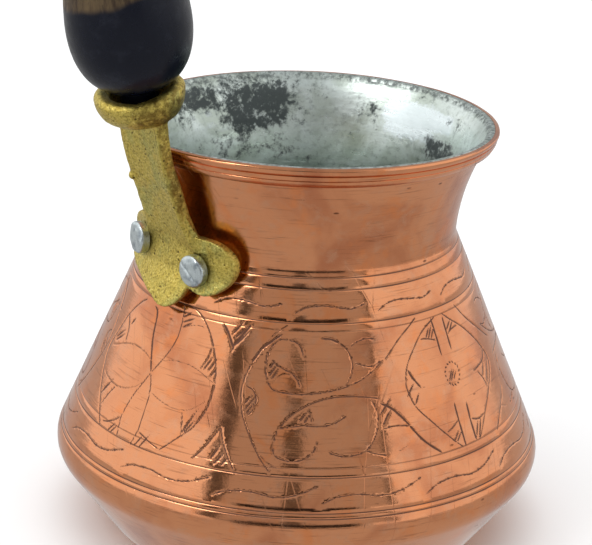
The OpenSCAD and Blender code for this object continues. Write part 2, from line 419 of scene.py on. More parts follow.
def wavy_rim(obj, pot):
    """Lets the hand-finished rim rise a little at two places and dip a little between them."""
    places = points_of(obj)
    low = pot.pot_h - pot.band_h
    turn = np.arctan2(places[:, 1], places[:, 0])
    rise = (-0.38 + 0.85 * np.maximum(0, np.cos(turn - math.radians(40)))
            + 0.25 * np.maximum(0, np.cos(turn + math.radians(110)))) * MM
    places[:, 2] += np.clip((places[:, 2] - low) / pot.band_h, 0, 1) * rise
    set_points(obj, places)


def lip(pot):
    """Step under the tin at the rim's top, from the outside in."""
    inner = pot.rim_r - 1 * MM
    return [Vector((inner, pot.pot_h - 0.02 * MM)), Vector((inner, pot.pot_h - 0.2 * MM)),
            Vector((inner - 0.8 * MM, pot.pot_h - 0.2 * MM))]


def rivet_frames(rivet):
    """Each rivet's place: its origin on the plate and Z out along its axis."""
    places = {"left": (-9.0 * MM, 60.4 * MM, -14), "right": (7.3 * MM, 58.6 * MM, 6)}
    return {side: Matrix.Translation((math.sqrt(rivet.seat_r ** 2 - y * y), y, z))
            @ Matrix.Rotation(math.radians(turn), 4, "Z") @ Matrix.Rotation(math.pi / 2, 4, "Y")
            for side, (y, z, turn) in places.items()}


def drill(obj, rivet):
    """Cuts the two rivet holes through a wall."""
    for place in rivet_frames(rivet).values():
        nothing_selected()
        bpy.ops.mesh.primitive_cylinder_add(vertices=32, radius=rivet.shank_r + GAP, depth=24 * MM)
        drill_bit = added("drill")
        settle(drill_bit, place)
        cut_with(obj, drill_bit)


# ---------------------------------------------------------------- the engraving

# Each stroke is a style and its points: degrees round the pot from the motif's middle, and height in
# millimetres
ROSETTE = [
    ("line", (5, 51.3), (11, 50.6), (16, 48.3), (19.5, 45), (21.4, 41.5), (21.7, 38.5), (20.7, 35),
      (18.2, 32), (15, 29.8), (10, 26.6)),
    ("line", (-13.2, 49.2), (-16.3, 48), (-20.7, 45), (-22.7, 42.2), (-24.5, 38), (-22.7, 34.8),
      (-19.5, 31.6), (-16.3, 29), (-12.6, 25.8)),
    ("bold", (0, 38.3), (-2, 41), (-4, 44), (-5.2, 47), (-6.3, 48.3), (-8, 48.9)),
    ("line", (0, 38.3), (2.5, 40.8), (4.6, 43.3), (5.9, 46), (5.6, 49), (4.8, 51)),
    ("fine", (2.5, 40.8), (6, 41.5), (10.5, 41.8), (15, 41.4), (19, 40.4), (22, 39.6)),
    ("fine", (2, 35.4), (6, 34.6), (11, 34.1), (16, 34.6), (20.5, 36.7)),
    ("fine", (-1, 40.2), (-5, 41), (-10, 41.3), (-15, 40.6), (-19, 39.6), (-23, 38.6)),
    ("fine", (-1.5, 36.6), (-4, 35.1), (-8, 33.9), (-13, 33.4), (-18, 33.7), (-21, 34.3)),
    ("line", (0, 38.3), (-1.5, 36.4), (-3.5, 33.8), (-4.8, 31.3), (-5.3, 29.3), (-5, 27.6), (-4.4, 25.6)),
    ("line", (0, 38.3), (1.4, 36.4), (2.1, 34), (2.2, 31), (2, 28.5), (0.9, 25.5)),
    ("fine", (6.2, 47), (9, 48), (13, 48.5), (15, 48.2)),
    ("line", (18.6, 45.5), (18, 43.5), (16.2, 41.4)), ("line", (14, 34), (14.8, 31.8), (15, 29.7)),
    ("line", (-15.8, 29), (-14.3, 31.2), (-12.3, 33.2)),
    ("line", (-12.2, 26.8), (-9, 27.6), (-5.6, 29.2)), ("line", (2.3, 28.4), (6, 27.5), (9.8, 26.8)),
    ("line", (-20.7, 45), (-17.5, 43), (-16.3, 40.7)), ("hatch", (5.6, 49), (8.6, 50.4)),
    ("hatch", (6, 48.2), (10.5, 49.5)), ("hatch", (6.4, 47.4), (10, 48.7)),
    ("hatch", (17.3, 41.4), (19.8, 44.2)), ("hatch", (18.8, 41.4), (21.2, 44)),
    ("hatch", (19.8, 40.6), (21.5, 42.4)), ("hatch", (15, 30.2), (18.6, 35.2)),
    ("hatch", (15.8, 30.6), (18.4, 33.2)), ("hatch", (-18.2, 30.4), (-14.5, 34)),
    ("hatch", (-17.5, 31.4), (-15.3, 33.3)), ("hatch", (-8.8, 25.8), (-6.5, 27.9)),
    ("hatch", (-7.5, 25.8), (-5.6, 27.6)), ("hatch", (2.2, 25.7), (4.3, 28.2)),
    ("hatch", (3.8, 25.7), (6.5, 28.9)), ("hatch", (-23, 40), (-18.8, 42.4)),
    ("hatch", (-22.3, 39.6), (-18.2, 41.6)), ("bold", (-17.2, 43.6), (-15.6, 45.2)),
]
CURL = [
    ("bold", (-8, 49.3), (-10.5, 48.3), (-14, 46.5), (-16.5, 44)),
    ("line", (-16.5, 44), (-17.9, 41.4), (-18.2, 38.8), (-17.3, 36), (-16, 34), (-13.5, 31), (-11, 28.5),
      (-8.6, 26.5)),
    ("fine", (-15.7, 45.2), (-13, 47.5), (-10, 49.4), (-6, 51)),
    ("fine", (-11.5, 29.3), (-9, 27.9), (-6.6, 27.3)),
    ("line", (-17.2, 40.3), (-15, 39.7), (-13.9, 38.3), (-14.4, 36.6), (-15.7, 35.4)),
    ("hatch", (-17, 37.2), (-15, 39)), ("hatch", (-16.8, 36.2), (-13.3, 39.4)),
    ("hatch", (-16.2, 35.6), (-14, 38)),
    ("ticked", (-6, 48.4), (-8.5, 48.4), (-10.6, 47.4), (-12, 45.6), (-12.2, 43.6), (-11.2, 41.4),
      (-9.4, 40.1), (-6, 39.7), (-1, 39.6), (5, 40), (11, 40.8), (17, 42.3), (22.5, 44.6)),
    ("ticked", (-6, 48.4), (-3.5, 48), (-2, 47), (-1.2, 45.4)),
    ("ticked", (-10.6, 45), (-9, 44.2), (-6.5, 43.5), (-4.4, 42.9), (-2.8, 41.8), (-2.1, 40.6)),
    ("fine", (-10, 40.8), (-9, 42), (-6.6, 42.8), (-4.4, 42.7)), ("hatch", (-11, 43.5), (-9.4, 45)),
    ("hatch", (-11, 42.2), (-8.4, 44.8)), ("hatch", (-10.2, 41.8), (-8, 43.9)),
    ("bold", (3.8, 48.8), (7, 48.7), (9.5, 48)),
    ("ticked", (9.5, 48), (11.8, 46.8), (13, 45), (12.7, 43), (11.5, 41.6), (10.6, 41)),
    ("ticked", (12.5, 47.3), (15, 48.1), (18, 48.5), (20.8, 48.3)),
    ("ticked", (14, 44.6), (16, 44.2), (19, 43.9), (22, 44.6)),
    ("line", (-7.2, 33.7), (-5, 35.5), (-2, 37), (1, 38), (4, 38.7), (9, 39.2), (15, 39), (20, 38.5)),
    ("ticked", (17.8, 38.3), (19, 36.5), (19, 34.5), (18, 32.5), (16, 30.6), (13, 29.6), (9, 29.4),
      (5.5, 30.1)),
    ("ticked", (-7.5, 33.8), (-4, 34.2), (0, 34.5), (4, 34.4), (7, 34.8), (10.5, 36)),
    ("ticked", (-7.5, 33.6), (-8.2, 31.5), (-8, 29.7), (-6.5, 28.9), (-3.5, 28.6), (-0.5, 29),
      (1.8, 30.3), (2.8, 32.2)),
    ("hatch", (-2, 35), (0.5, 37.2)), ("hatch", (-0.7, 34.9), (0.8, 36.4)),
    ("line", (0.5, 37), (1.3, 35)), ("ticked", (15, 30.2), (17, 29.6), (20.5, 29)),
    ("fine", (23, 29.3), (25, 29.7), (27.5, 30.4)),
]
FLOWER = [
    ("line", (-1.5, 49.9), (-7, 48.5), (-10.5, 47), (-14.5, 44.5), (-16.7, 42.4), (-17.6, 40), (-17, 38),
      (-15.4, 35.8), (-11.5, 33), (-7.5, 30.2), (-3, 27.3)),
    ("line", (2, 50), (5.5, 48.4), (10.5, 46.3), (15.5, 43.4), (18.6, 41), (20.2, 38.8), (19, 37),
      (14.5, 34.2), (9.5, 31.3), (3.5, 27.3)),
    ("bold", (-3.5, 50), (-3, 46.5), (-2.7, 43.2)), ("bold", (1.9, 49.7), (2, 46), (2.1, 43.5)),
    ("bold", (-2.5, 35.2), (-2.3, 31), (-2, 27.3)), ("bold", (2.3, 34.5), (2.1, 31), (2.3, 27.3)),
    ("hatch", (-2.2, 38.6), (0.2, 40.6)), ("hatch", (-1.5, 38.5), (1, 40.5)),
    ("hatch", (-0.2, 38.7), (1.6, 40)), ("line", (-10, 46.9), (-6.5, 46.6), (-3.5, 46)),
    ("hatch", (-6.5, 46.5), (-3.8, 48.9)), ("hatch", (-5.2, 46.5), (-3.4, 48.2)),
    ("hatch", (-7.3, 46.8), (-5.2, 48.5)), ("line", (2.2, 46.2), (4.5, 46.8), (8, 47)),
    ("hatch", (2.2, 47), (5.4, 48.4)), ("hatch", (3, 46.4), (7, 48.3)),
    ("line", (-7.5, 30.5), (-5, 31.1), (-2.5, 32)), ("hatch", (-5.5, 28.8), (-3, 30.4)),
    ("hatch", (-4.7, 28.5), (-2.4, 30)), ("line", (2.4, 31.3), (5.5, 30.7), (8.5, 31)),
    ("hatch", (2.6, 27.9), (5, 30.6)), ("hatch", (3.6, 27.6), (7, 31.3)),
    ("bold", (-16.4, 42.6), (-15.2, 41), (-12.8, 38.9)), ("fine", (-12.8, 38.9), (-10.6, 39.1)),
    ("hatch", (-18, 37.9), (-14.6, 40.3)), ("hatch", (-15.7, 36.4), (-13.8, 38.4)),
    ("line", (9.5, 38.4), (12.5, 38.7), (16.5, 39.3), (19, 40.6)),
    ("line", (11.5, 38), (13.5, 36.3), (14.4, 34.6)), ("hatch", (13.7, 36.6), (16.5, 39)),
    ("hatch", (14.5, 35), (19.6, 39)),
    ("bold", (-26.5, 37.7), (-23.5, 36.7), (-20.5, 34.8), (-18, 32.7), (-15, 30.2), (-10.2, 27.5)),
    ("hatch", (-27, 35.6), (-24.5, 37.3), (-23, 38.7)),
    ("hatch", (-26.5, 33.6), (-24, 36), (-21.8, 36.8)),
    ("ticked", (-27, 33.3), (-23, 33.6), (-18.5, 33.2)),
    ("line", (-23.5, 44.6), (-17.5, 47.7), (-9.5, 50.7)),
    ("line", (9.5, 50.5), (14.5, 47.2), (20.5, 44.2), (26.5, 41.5)),
    ("line", (12, 27), (15.5, 29), (19.5, 31), (23, 33)),
]
CHEVRON = [
    ("bold", (-6, 49.9), (-3.5, 48.3), (-1.2, 46.1)),
    ("bold", (-1.6, 45.4), (-0.7, 47), (2, 49.2), (3.6, 50.5)), ("hatch", (-2.2, 48.3), (1, 50.8)),
    ("hatch", (-1.3, 47.7), (2.8, 50.3)), ("hatch", (-0.9, 46.5), (3.4, 49.4)),
    ("line", (-7, 26.7), (-4, 29.2), (-0.7, 33)),
    ("line", (-0.9, 33.2), (0.5, 30.5), (2.5, 28), (4.4, 26.1)), ("hatch", (-2.2, 27.3), (0.3, 30.4)),
    ("hatch", (-1.2, 26.6), (1.5, 29)), ("hatch", (0.7, 26.6), (2.5, 28.4)),
]
LOWER_WAVE = [("ticked", (0, 21.5), (4, 22.8), (9.5, 23.1), (15, 22.6), (20, 23.1), (25.5, 24.6))]
UPPER_WAVE = [("ticked", (0, 52.8), (4, 53.9), (9, 54.2), (14, 53.9), (19, 53.6), (24, 54.3))]
LOWER_WAVES, UPPER_WAVES = 14, 13

# Motifs round the pot: strokes, degrees from the handle, and 1 or -1 for which way round they are
LAYOUT = [(ROSETTE, 3, 1), (CHEVRON, 29.5, 1), (CURL, 51, 1), (FLOWER, 97.5, 1), (CURL, 143, -1),
          (ROSETTE, 187, 1), (CHEVRON, 212.5, 1), (CURL, 232, 1), (FLOWER, 276, 1), (CURL, 318, -1)]
LAYOUT += [(LOWER_WAVE, 3 + i * 360 / LOWER_WAVES, 1) for i in range(LOWER_WAVES)]
LAYOUT += [(UPPER_WAVE, 18.5 + i * 360 / UPPER_WAVES, 1) for i in range(UPPER_WAVES)]

# Width and depth of each style next to a plain line's, and the spacing of its ticks in millimetres
STYLES = {"line": (1.0, 1.0, 0), "bold": (1.45, 1.4, 0), "fine": (0.75, 0.7, 0), "hatch": (1.15, 1.35, 0),
          "ticked": (0.85, 1.0, 1.7)}
# Length of one degree round the middle of the cone, spacing of the points along a stroke, and radius
# of the flower's dotted middle, all in millimetres
MM_PER_DEGREE = 0.66
SAMPLE = 0.05
FLOWER_EYE = 2.0


def flower_eye():
    """Dotted circle in the flower's middle, as short strokes round a circle."""
    strokes = []
    for i in range(16):
        a = FULL_TURN * i / 16
        ends = [(-0.1 + FLOWER_EYE * k / MM_PER_DEGREE * math.cos(a + t),
                 39.7 + FLOWER_EYE * k * math.sin(a + t)) for k, t in ((0.92, -0.1), (1.08, 0.14))]
        strokes.append(("hatch", *ends))
    return strokes


def engraved_samples(pot):
    """Points along every stroke, with the half width and the depth of the cut at each."""
    places, halves, depths = [], [], []
    for motif, middle, way in LAYOUT:
        strokes = motif + flower_eye() if motif is FLOWER else motif
        for style, *points in strokes:
            wide, deep, ticks = STYLES[style]
            line = smooth_line([(x * MM_PER_DEGREE, z) for x, z in points], SAMPLE)
            total = len(line) * SAMPLE
            for i, (x, z) in enumerate(line):
                at = i * SAMPLE
                run = 0.5 if ticks or style == "line" else 0.9
                taper = min(1, (0.15 + min(at, total - at) / run)) ** 0.7
                if style == "hatch":
                    taper = min(1, 0.3 + min(at * 3, total - at) / (0.7 * total)) ** 0.8
                swell = 1 + 0.12 * math.sin(at * 2.3 + middle)
                if ticks:
                    swell *= 1 + 0.75 * max(0, math.cos(at * FULL_TURN / ticks)) ** 10
                angle = math.radians(middle + way * x / MM_PER_DEGREE)
                radius = cone_r(pot, z * MM)
                places.append((radius * math.cos(angle), radius * math.sin(angle), z * MM))
                halves.append(pot.line_w / 2 * wide * taper * swell)
                depths.append(pot.line_d * deep * taper * (swell if ticks else 1))
    return places, halves, depths


def tree_of(places):
    tree = kdtree.KDTree(len(places))
    for i, place in enumerate(places):
        tree.insert(place, i)
    tree.balance()
    return tree


def on_cone(pot, place, slack):
    return (20.4 * MM < place.z < pot.waist_z - 1.5 * MM
            and math.hypot(place.x, place.y) > cone_r(pot, place.z) - slack)


def refine_near(obj, pot, tree, reach):
    """Halves the faces that lie within reach of an engraved stroke."""
    only(obj)
    bpy.ops.object.mode_set(mode="EDIT")
    bpy.ops.mesh.select_mode(type="EDGE")
    bpy.ops.mesh.select_all(action="DESELECT")
    mesh = bmesh.from_edit_mesh(obj.data)
    for edge in mesh.edges:
        a, b = edge.verts[0].co, edge.verts[1].co
        middle = (a + b) / 2
        if on_cone(pot, middle, 0.4 * MM) and tree.find(middle)[2] < reach + (b - a).length / 2:
            edge.select_set(True)
    bmesh.update_edit_mesh(obj.data)
    bpy.ops.mesh.subdivide(number_cuts=1, ngon=False, quadcorner="INNERVERT")
    bpy.ops.mesh.select_mode(type="VERT")
    bpy.ops.object.mode_set(mode="OBJECT")


def cut_depth(distance, half, depth):
    """Depth of a V cut with a slight burr along its edge."""
    x = distance / half
    return depth * max(0, 1 - x) - 0.06 * depth * math.exp(-((x - 1.3) / 0.3) ** 2)


def engrave(obj, pot, samples, tree):
    """Cuts the rings and the strokes into the cone, and stores how deep each point lies in a line."""
    _, halves, depths = samples
    places = points_of(obj)
    worn = np.zeros(len(places))
    for i, (x, y, z) in enumerate(places):
        radius = math.hypot(x, y)
        if not 18 * MM < z < pot.waist_z - 1 * MM or radius < cone_r(pot, z) - 0.3 * MM:
            continue
        sunk = 0.0
        for ring, strength in RINGS:
            off = abs(z - ring * MM)
            if off < 2 * RING_HALF:
                patchy = strength * (0.8 + 0.35 * noise.noise(Vector((x, y, ring * MM)) * 90))
                sunk += cut_depth(off, RING_HALF, pot.line_d * 0.9 * patchy)
                worn[i] = max(worn[i], (1 - off / RING_HALF) * patchy * 0.8)
        shift = 0.08 * MM * noise.noise(Vector((x, y, z)) * 400)
        _, index, distance = tree.find((x, y, z + shift))
        if distance < 2.2 * halves[index]:
            sunk += cut_depth(distance, halves[index], depths[index])
            worn[i] = max(worn[i], (1 - distance / halves[index]) * min(1.3, depths[index] / pot.line_d))
        if sunk:
            exact = cone_r(pot, z) - sunk * 1.09
        else:
            exact = cone_r(pot, z) if radius > cone_r(pot, z) - 0.02 * MM else radius
        places[i, :2] *= exact / radius
    set_points(obj, places)
    store(obj, "line", np.clip(worn, 0, 1))


# Dents and ripples of the hand-finished sheet: size, height and seed
DENTS = [(14 * MM, 0.07 * MM, 3.1), (5 * MM, 0.022 * MM, 7.7), (2.2 * MM, 0.006 * MM, 1.3)]


# ---------------------------------------------------------------- finishes

class Finish:
    """A material built node by node round its shader. Sizes are in metres."""

    def __init__(self, name, **numbers):
        self.material = bpy.data.materials.new(name)
        self.material.use_nodes = True
        self.nodes = self.material.node_tree.nodes
        self.shader = self.nodes["Principled BSDF"]
        self.place = self.nodes.new("ShaderNodeTexCoord").outputs["Object"]
        for socket, value in numbers.items():
            self.shader.inputs[socket.replace("_", " ")].default_value = value

    def plug(self, socket, value):
        """Links a socket to a node's output, or sets it to a number, place or colour."""
        if isinstance(value, bpy.types.NodeSocket):
            self.material.node_tree.links.new(value, socket)
        elif socket.type == "RGBA" and len(value) == 3:
            socket.default_value = (*value, 1)
        else:
            socket.default_value = value

    def stretched(self, scale=(1, 1, 1), turn=(0, 0, 0), centre=(0, 0, 0)):
        """Place on the piece, scaled and turned about a centre."""
        node = self.nodes.new("ShaderNodeMapping")
        node.vector_type = "TEXTURE"
        self.plug(node.inputs["Vector"], self.place)
        node.inputs["Location"].default_value = centre
        node.inputs["Rotation"].default_value = turn
        node.inputs["Scale"].default_value = scale
        return node.outputs["Vector"]

    def noise(self, size, detail=3.0, rough=0.5, warp=0.0, place=None):
        node = self.nodes.new("ShaderNodeTexNoise")
        self.plug(node.inputs["Vector"], place or self.place)
        node.inputs["Scale"].default_value = 1 / size
        node.inputs["Detail"].default_value = detail
        node.inputs["Roughness"].default_value = rough
        node.inputs["Distortion"].default_value = warp
        return node.outputs["Fac"]

    def cells(self, size, feature="F1", place=None):
        node = self.nodes.new("ShaderNodeTexVoronoi")
        node.feature = feature
        self.plug(node.inputs["Vector"], place or self.place)
        node.inputs["Scale"].default_value = 1 / size
        return node.outputs["Distance"]

    def ramp(self, value, low, high, start=0.0, end=1.0):
        """Takes a value from low to high smoothly to start to end."""
        node = self.nodes.new("ShaderNodeMapRange")
        node.interpolation_type = "SMOOTHSTEP"
        sockets = ("Value", "From Min", "From Max", "To Min", "To Max")
        for socket, number in zip(sockets, (value, low, high, start, end)):
            self.plug(node.inputs[socket], number)
        return node.outputs["Result"]

    def mix(self, factor, first, second):
        node = self.nodes.new("ShaderNodeMix")
        node.data_type = "RGBA"
        for index, value in ((0, factor), (6, first), (7, second)):
            self.plug(node.inputs[index], value)
        return node.outputs[2]

    def layer(self, colour, tint, *shares):
        """Lays a tint over a colour, as strongly as the product of the shares."""
        return self.mix(self.times(*shares), colour, tint)

    def maths(self, operation, first, second):
        node = self.nodes.new("ShaderNodeMath")
        node.operation = operation
        self.plug(node.inputs[0], first)
        self.plug(node.inputs[1], second)
        return node.outputs[0]

    def times(self, *values):
        product = values[0]
        for value in values[1:]:
            product = self.maths("MULTIPLY", product, value)
        return product

    def plus(self, *values):
        total = values[0]
        for value in values[1:]:
            total = self.maths("ADD", total, value)
        return total

    def across(self, place, axis):
        """One of a place's three measures: 0, 1 or 2 for X, Y or Z."""
        node = self.nodes.new("ShaderNodeSeparateXYZ")
        self.plug(node.inputs[0], place)
        return node.outputs[axis]

    def height(self):
        """Height above the floor."""
        return self.across(self.place, 2)

    def stored(self, name):
        node = self.nodes.new("ShaderNodeAttribute")
        node.attribute_name = name
        return node.outputs["Fac"]

    def scratches(self, size, width, turn, share=0.5):
        """Thin straight marks of the given spacing and width, lying the way that turn gives."""
        place = self.stretched((size * 9, size, size * 9), turn)
        marks = self.cells(1.0, "DISTANCE_TO_EDGE", place)
        patches = self.noise(size * 5, 2, 0.6)
        return self.times(self.ramp(marks, 0, width, 1, 0), self.ramp(patches, share, share + 0.12))

    def bumps(self, *layers):
        """Bump from layers of (height, depth in metres)."""
        normal = None
        for height, depth in layers:
            node = self.nodes.new("ShaderNodeBump")
            self.plug(node.inputs["Height"], height)
            node.inputs["Distance"].default_value = depth
            if normal is not None:
                self.plug(node.inputs["Normal"], normal)
            normal = node.outputs["Normal"]
        self.plug(self.shader.inputs["Normal"], normal)

    def paint(self, colour, roughness, metallic=None):
        self.plug(self.shader.inputs["Base Color"], colour)
        self.plug(self.shader.inputs["Roughness"], roughness)
        if metallic is not None:
            self.plug(self.shader.inputs["Metallic"], metallic)
        return self.material


def burnished_copper(pot):
    look = Finish("burnished copper", Metallic=1.0)
    around = look.stretched((10, 10, 0.28))
    brushed = look.noise(1 * MM, 4, 0.65, 0, around)
    drag = look.noise(1 * MM, 3, 0.6, 0, look.stretched((7, 7, 0.9), centre=(0.3, 0.2, 0.1)))
    clouds = look.noise(17 * MM, 4, 0.55, 0.6)
    patches = look.noise(6 * MM, 5, 0.6, 0.4)
    haze = look.noise(3.2 * MM, 6, 0.7, 0.5, look.stretched(centre=(0.01, 0.02, 0.03)))
    specks = look.noise(1.1 * MM, 3, 0.7)
    nick_place = look.stretched((2.6, 2.6, 1))
    nicks = look.ramp(look.cells(2.4 * MM, place=nick_place), 0.05, 0.11, 1, 0)
    nicks = look.times(nicks, look.ramp(look.noise(9 * MM, 2), 0.52, 0.6))
    fine = look.scratches(3 * MM, 0.018, (0.5, 0.3, 0.2), 0.47)
    deep = look.scratches(7 * MM, 0.010, (-0.4, 0.9, 1.3), 0.52)
    line = look.stored("line")
    neck = look.ramp(look.height(), 0.0592, 0.0606)
    colour = look.mix(look.ramp(clouds, 0.42, 0.68), pot.copper, pot.copper_dull)
    colour = look.layer(colour, pot.copper_stain, look.ramp(patches, 0.52, 0.72), 0.6)
    colour = look.layer(colour, pot.copper_haze, look.ramp(haze, 0.48, 0.72), 0.45)
    colour = look.layer(colour, pot.copper_dull, look.ramp(specks, 0.60, 0.75), 0.3)
    colour = look.layer(colour, pot.line_dark,
                        look.ramp(brushed, 0.52, 0.66), look.ramp(drag, 0.45, 0.62), 0.4)
    colour = look.layer(colour, pot.line_dark, nicks, 0.75)
    colour = look.layer(colour, pot.copper_dull, deep, 0.5)
    grime = look.ramp(line, 0.15, 0.6)
    colour = look.layer(colour, pot.line_dark, grime, 0.95)
    rough = look.plus(look.ramp(clouds, 0.35, 0.7, 0.08, 0.13), look.ramp(brushed, 0.3, 0.7, -0.01, 0.04),
                      look.times(look.ramp(haze, 0.45, 0.75), 0.10), look.times(neck, 0.04),
                      look.times(nicks, 0.2), look.times(grime, 0.35), look.times(fine, 0.08))
    marks = look.plus(fine, look.times(deep, 1.5), nicks)
    look.bumps((brushed, 0.010 * MM), (patches, 0.04 * MM), (marks, -0.01 * MM))
    return look.paint(colour, rough, look.ramp(grime, 0, 1, 1, 0.45))


def wiped_tin(pot):
    look = Finish("wiped tin", Metallic=1.0)
    clouds = look.noise(9 * MM, 5, 0.6, 0.5)
    blotches = look.noise(3.0 * MM, 6, 0.72, 0.3)
    mottle = look.noise(1.1 * MM, 5, 0.7)
    smears = look.noise(2.5 * MM, 4, 0.6, 0, look.stretched((3, 3, 0.6)))
    black, pale = look.stored("black"), look.stored("pale")
    lip = look.ramp(look.height(), 0.0790, 0.0797)
    broken = look.plus(look.times(blotches, 1.9), look.times(mottle, 1.0), look.times(clouds, 0.8), black)
    dirt = look.ramp(broken, 2.20, 2.62)
    dirt = look.maths("MAXIMUM", dirt, look.times(lip, look.ramp(mottle, 0.35, 0.6), 0.8))
    shine = look.plus(pale, look.times(blotches, 1.0), look.times(mottle, 0.5))
    shine = look.times(look.ramp(shine, 1.15, 1.45), 0.8)
    colour = look.mix(look.ramp(clouds, 0.35, 0.65), pot.tin, (0.46, 0.52, 0.46))
    colour = look.layer(colour, (0.25, 0.29, 0.27), look.ramp(mottle, 0.48, 0.7), 0.5)
    colour = look.layer(colour, (0.60, 0.67, 0.66), look.ramp(smears, 0.5, 0.75), 0.4)
    colour = look.mix(shine, colour, pot.tin_pale)
    colour = look.layer(colour, pot.tin_stain, dirt, 0.97)
    rough = look.plus(look.ramp(smears, 0.3, 0.7, 0.26, 0.4), look.times(dirt, 0.2),
                      look.times(shine, -0.05))
    look.bumps((smears, 0.05 * MM), (blotches, 0.06 * MM), (mottle, 0.03 * MM))
    return look.paint(colour, rough, look.ramp(dirt, 0, 1, 1, 0.3))


def cast_brass(bracket):
    look = Finish("rough cast brass", Metallic=1.0)
    clouds = look.noise(7 * MM, 3, 0.55, 0.3)
    grain = look.noise(0.42 * MM, 4, 0.7)
    coarse = look.noise(1.3 * MM, 4, 0.65)
    pits = look.ramp(look.cells(1.5 * MM), 0.08, 0.2, 1, 0)
    pits = look.times(pits, look.ramp(look.noise(3 * MM, 2), 0.42, 0.55))
    low = look.ramp(look.height(), 0.0600, 0.0545)
    aside = look.ramp(look.across(look.place, 1), 0.004, 0.011)
    green = look.maths("MAXIMUM", look.times(look.ramp(clouds, 0.48, 0.66), 0.6),
                       look.times(low, aside, look.ramp(coarse, 0.3, 0.55)))
    # Painted shade: the strap's right side face, from about 66 mm up, is darkened in colour and mottled by
    # the coarse noise, standing in for its shadow
    painted_shade_side = look.ramp(look.across(look.place, 1), 0.0052, 0.0058)
    side = look.times(painted_shade_side, look.ramp(look.height(), 0.066, 0.070), look.ramp(coarse, 0.35, 0.6))
    colour = look.mix(green, bracket.brass, bracket.brass_green)
    colour = look.layer(colour, (0.52, 0.33, 0.05), look.ramp(coarse, 0.5, 0.72), 0.4)
    colour = look.layer(colour, bracket.brass_dark, look.ramp(grain, 0.50, 0.64), 0.55)
    colour = look.layer(colour, (0.90, 0.76, 0.27), look.ramp(grain, 0.44, 0.36), 0.5)
    # Painted shade on the strap's right side face
    colour = look.layer(colour, (0.14, 0.09, 0.02), side, 0.75)
    colour = look.layer(colour, bracket.brass_dark, pits, 0.85)
    rough = look.plus(look.ramp(grain, 0.3, 0.7, 0.36, 0.5), look.times(pits, 0.2))
    look.bumps((coarse, 0.10 * MM), (grain, 0.12 * MM), (pits, -0.08 * MM))
    return look.paint(colour, rough, 0.95)


def hammered_aluminium(rivet):
    look = Finish("hammered aluminium", Metallic=1.0)
    clouds = look.noise(2 * MM, 4, 0.6)
    grain = look.noise(0.35 * MM, 4, 0.6)
    marks = look.scratches(1.2 * MM, 0.03, (0.2, 0.5, 0.9), 0.42)
    colour = look.mix(look.ramp(clouds, 0.45, 0.7), rivet.aluminium, (0.27, 0.31, 0.34))
    colour = look.layer(colour, (0.16, 0.17, 0.18), marks, 0.5)
    rough = look.plus(look.ramp(grain, 0.3, 0.7, 0.26, 0.42), look.times(marks, 0.2))
    look.bumps((clouds, 0.06 * MM), (grain, 0.015 * MM), (marks, -0.01 * MM))
    return look.paint(colour, rough)


def lacquered_wood(grip, bracket):
    """Turned wood, with black lacquer over its end at the cup."""
    look = Finish("lacquered wood", Metallic=0.0, Specular_IOR_Level=0.18, Coat_Weight=0.03,
                  Coat_Roughness=0.1)
    foot = (bracket.foot_x, 0, bracket.foot_z)
    turn = (0, bracket.lean, 0)
    along = look.stretched((1, 1, 1), turn, foot)
    grain = look.noise(0.8 * MM, 5, 0.62, 0.5, look.stretched((1, 1, 14), turn, foot))
    figure = look.noise(5 * MM, 4, 0.6, 1.2, look.stretched((1, 1, 5), turn, foot))
    pores = look.ramp(look.cells(0.5 * MM, place=look.stretched((1, 1, 12), turn, foot)), 0.08, 0.2, 1, 0)
    askew = look.plus(look.times(look.across(along, 0), 0.13), look.times(look.across(along, 1), -0.12))
    edge = look.plus(look.across(along, 2), askew, look.times(look.noise(6 * MM, 2), 1.6 * MM))
    bare = look.ramp(edge, grip.black_top + 0.2 * MM, grip.black_top + 1.6 * MM)
    colour = look.mix(look.ramp(grain, 0.35, 0.65), grip.wood, (0.035, 0.020, 0.011))
    colour = look.layer(colour, (0.125, 0.082, 0.038), look.ramp(figure, 0.4, 0.65), 0.7)
    colour = look.layer(colour, (0.02, 0.012, 0.008), pores, 0.7)
    dusty = look.layer(grip.black, (0.02, 0.023, 0.034),
                       look.ramp(look.noise(4 * MM, 5, 0.7), 0.5, 0.75), 0.35)
    colour = look.mix(bare, dusty, colour)
    rough = look.ramp(bare, 0, 1, 0.30, 0.42)
    rough = look.plus(rough, look.ramp(look.noise(1.5 * MM, 4, 0.6), 0.3, 0.7, -0.05, 0.06))
    look.bumps((grain, 0.02 * MM), (look.noise(3 * MM, 3), 0.05 * MM),
               (look.times(pores, bare), -0.03 * MM))
    return look.paint(colour, rough)


def turned_brass():
    look = Finish("turned brass", Metallic=1.0)
    clouds = look.noise(3 * MM, 4, 0.6)
    marks = look.scratches(1.5 * MM, 0.03, (0.9, 0.2, 0.4), 0.45)
    colour = look.mix(look.ramp(clouds, 0.45, 0.65), (0.62, 0.44, 0.15), (0.36, 0.25, 0.09))
    look.bumps((clouds, 0.03 * MM), (marks, -0.01 * MM))
    return look.paint(colour, look.ramp(clouds, 0.3, 0.7, 0.22, 0.4))


def plain_steel(grip):
    look = Finish("plain steel", Metallic=1.0)
    clouds = look.noise(2 * MM, 4, 0.6)
    look.bumps((look.noise(0.4 * MM, 3), 0.01 * MM))
    return look.paint(look.mix(look.ramp(clouds, 0.4, 0.7), grip.steel, (0.22, 0.21, 0.20)),
                      look.ramp(clouds, 0.3, 0.7, 0.3, 0.5))


# ---------------------------------------------------------------- pieces

class PieceOperator(bpy.types.Operator):
    bl_options = {"REGISTER", "UNDO"}

    def settings(self, context):
        scene = context.scene
        return scene.pot_size, scene.bracket_size, scene.rivet_size, scene.grip_size


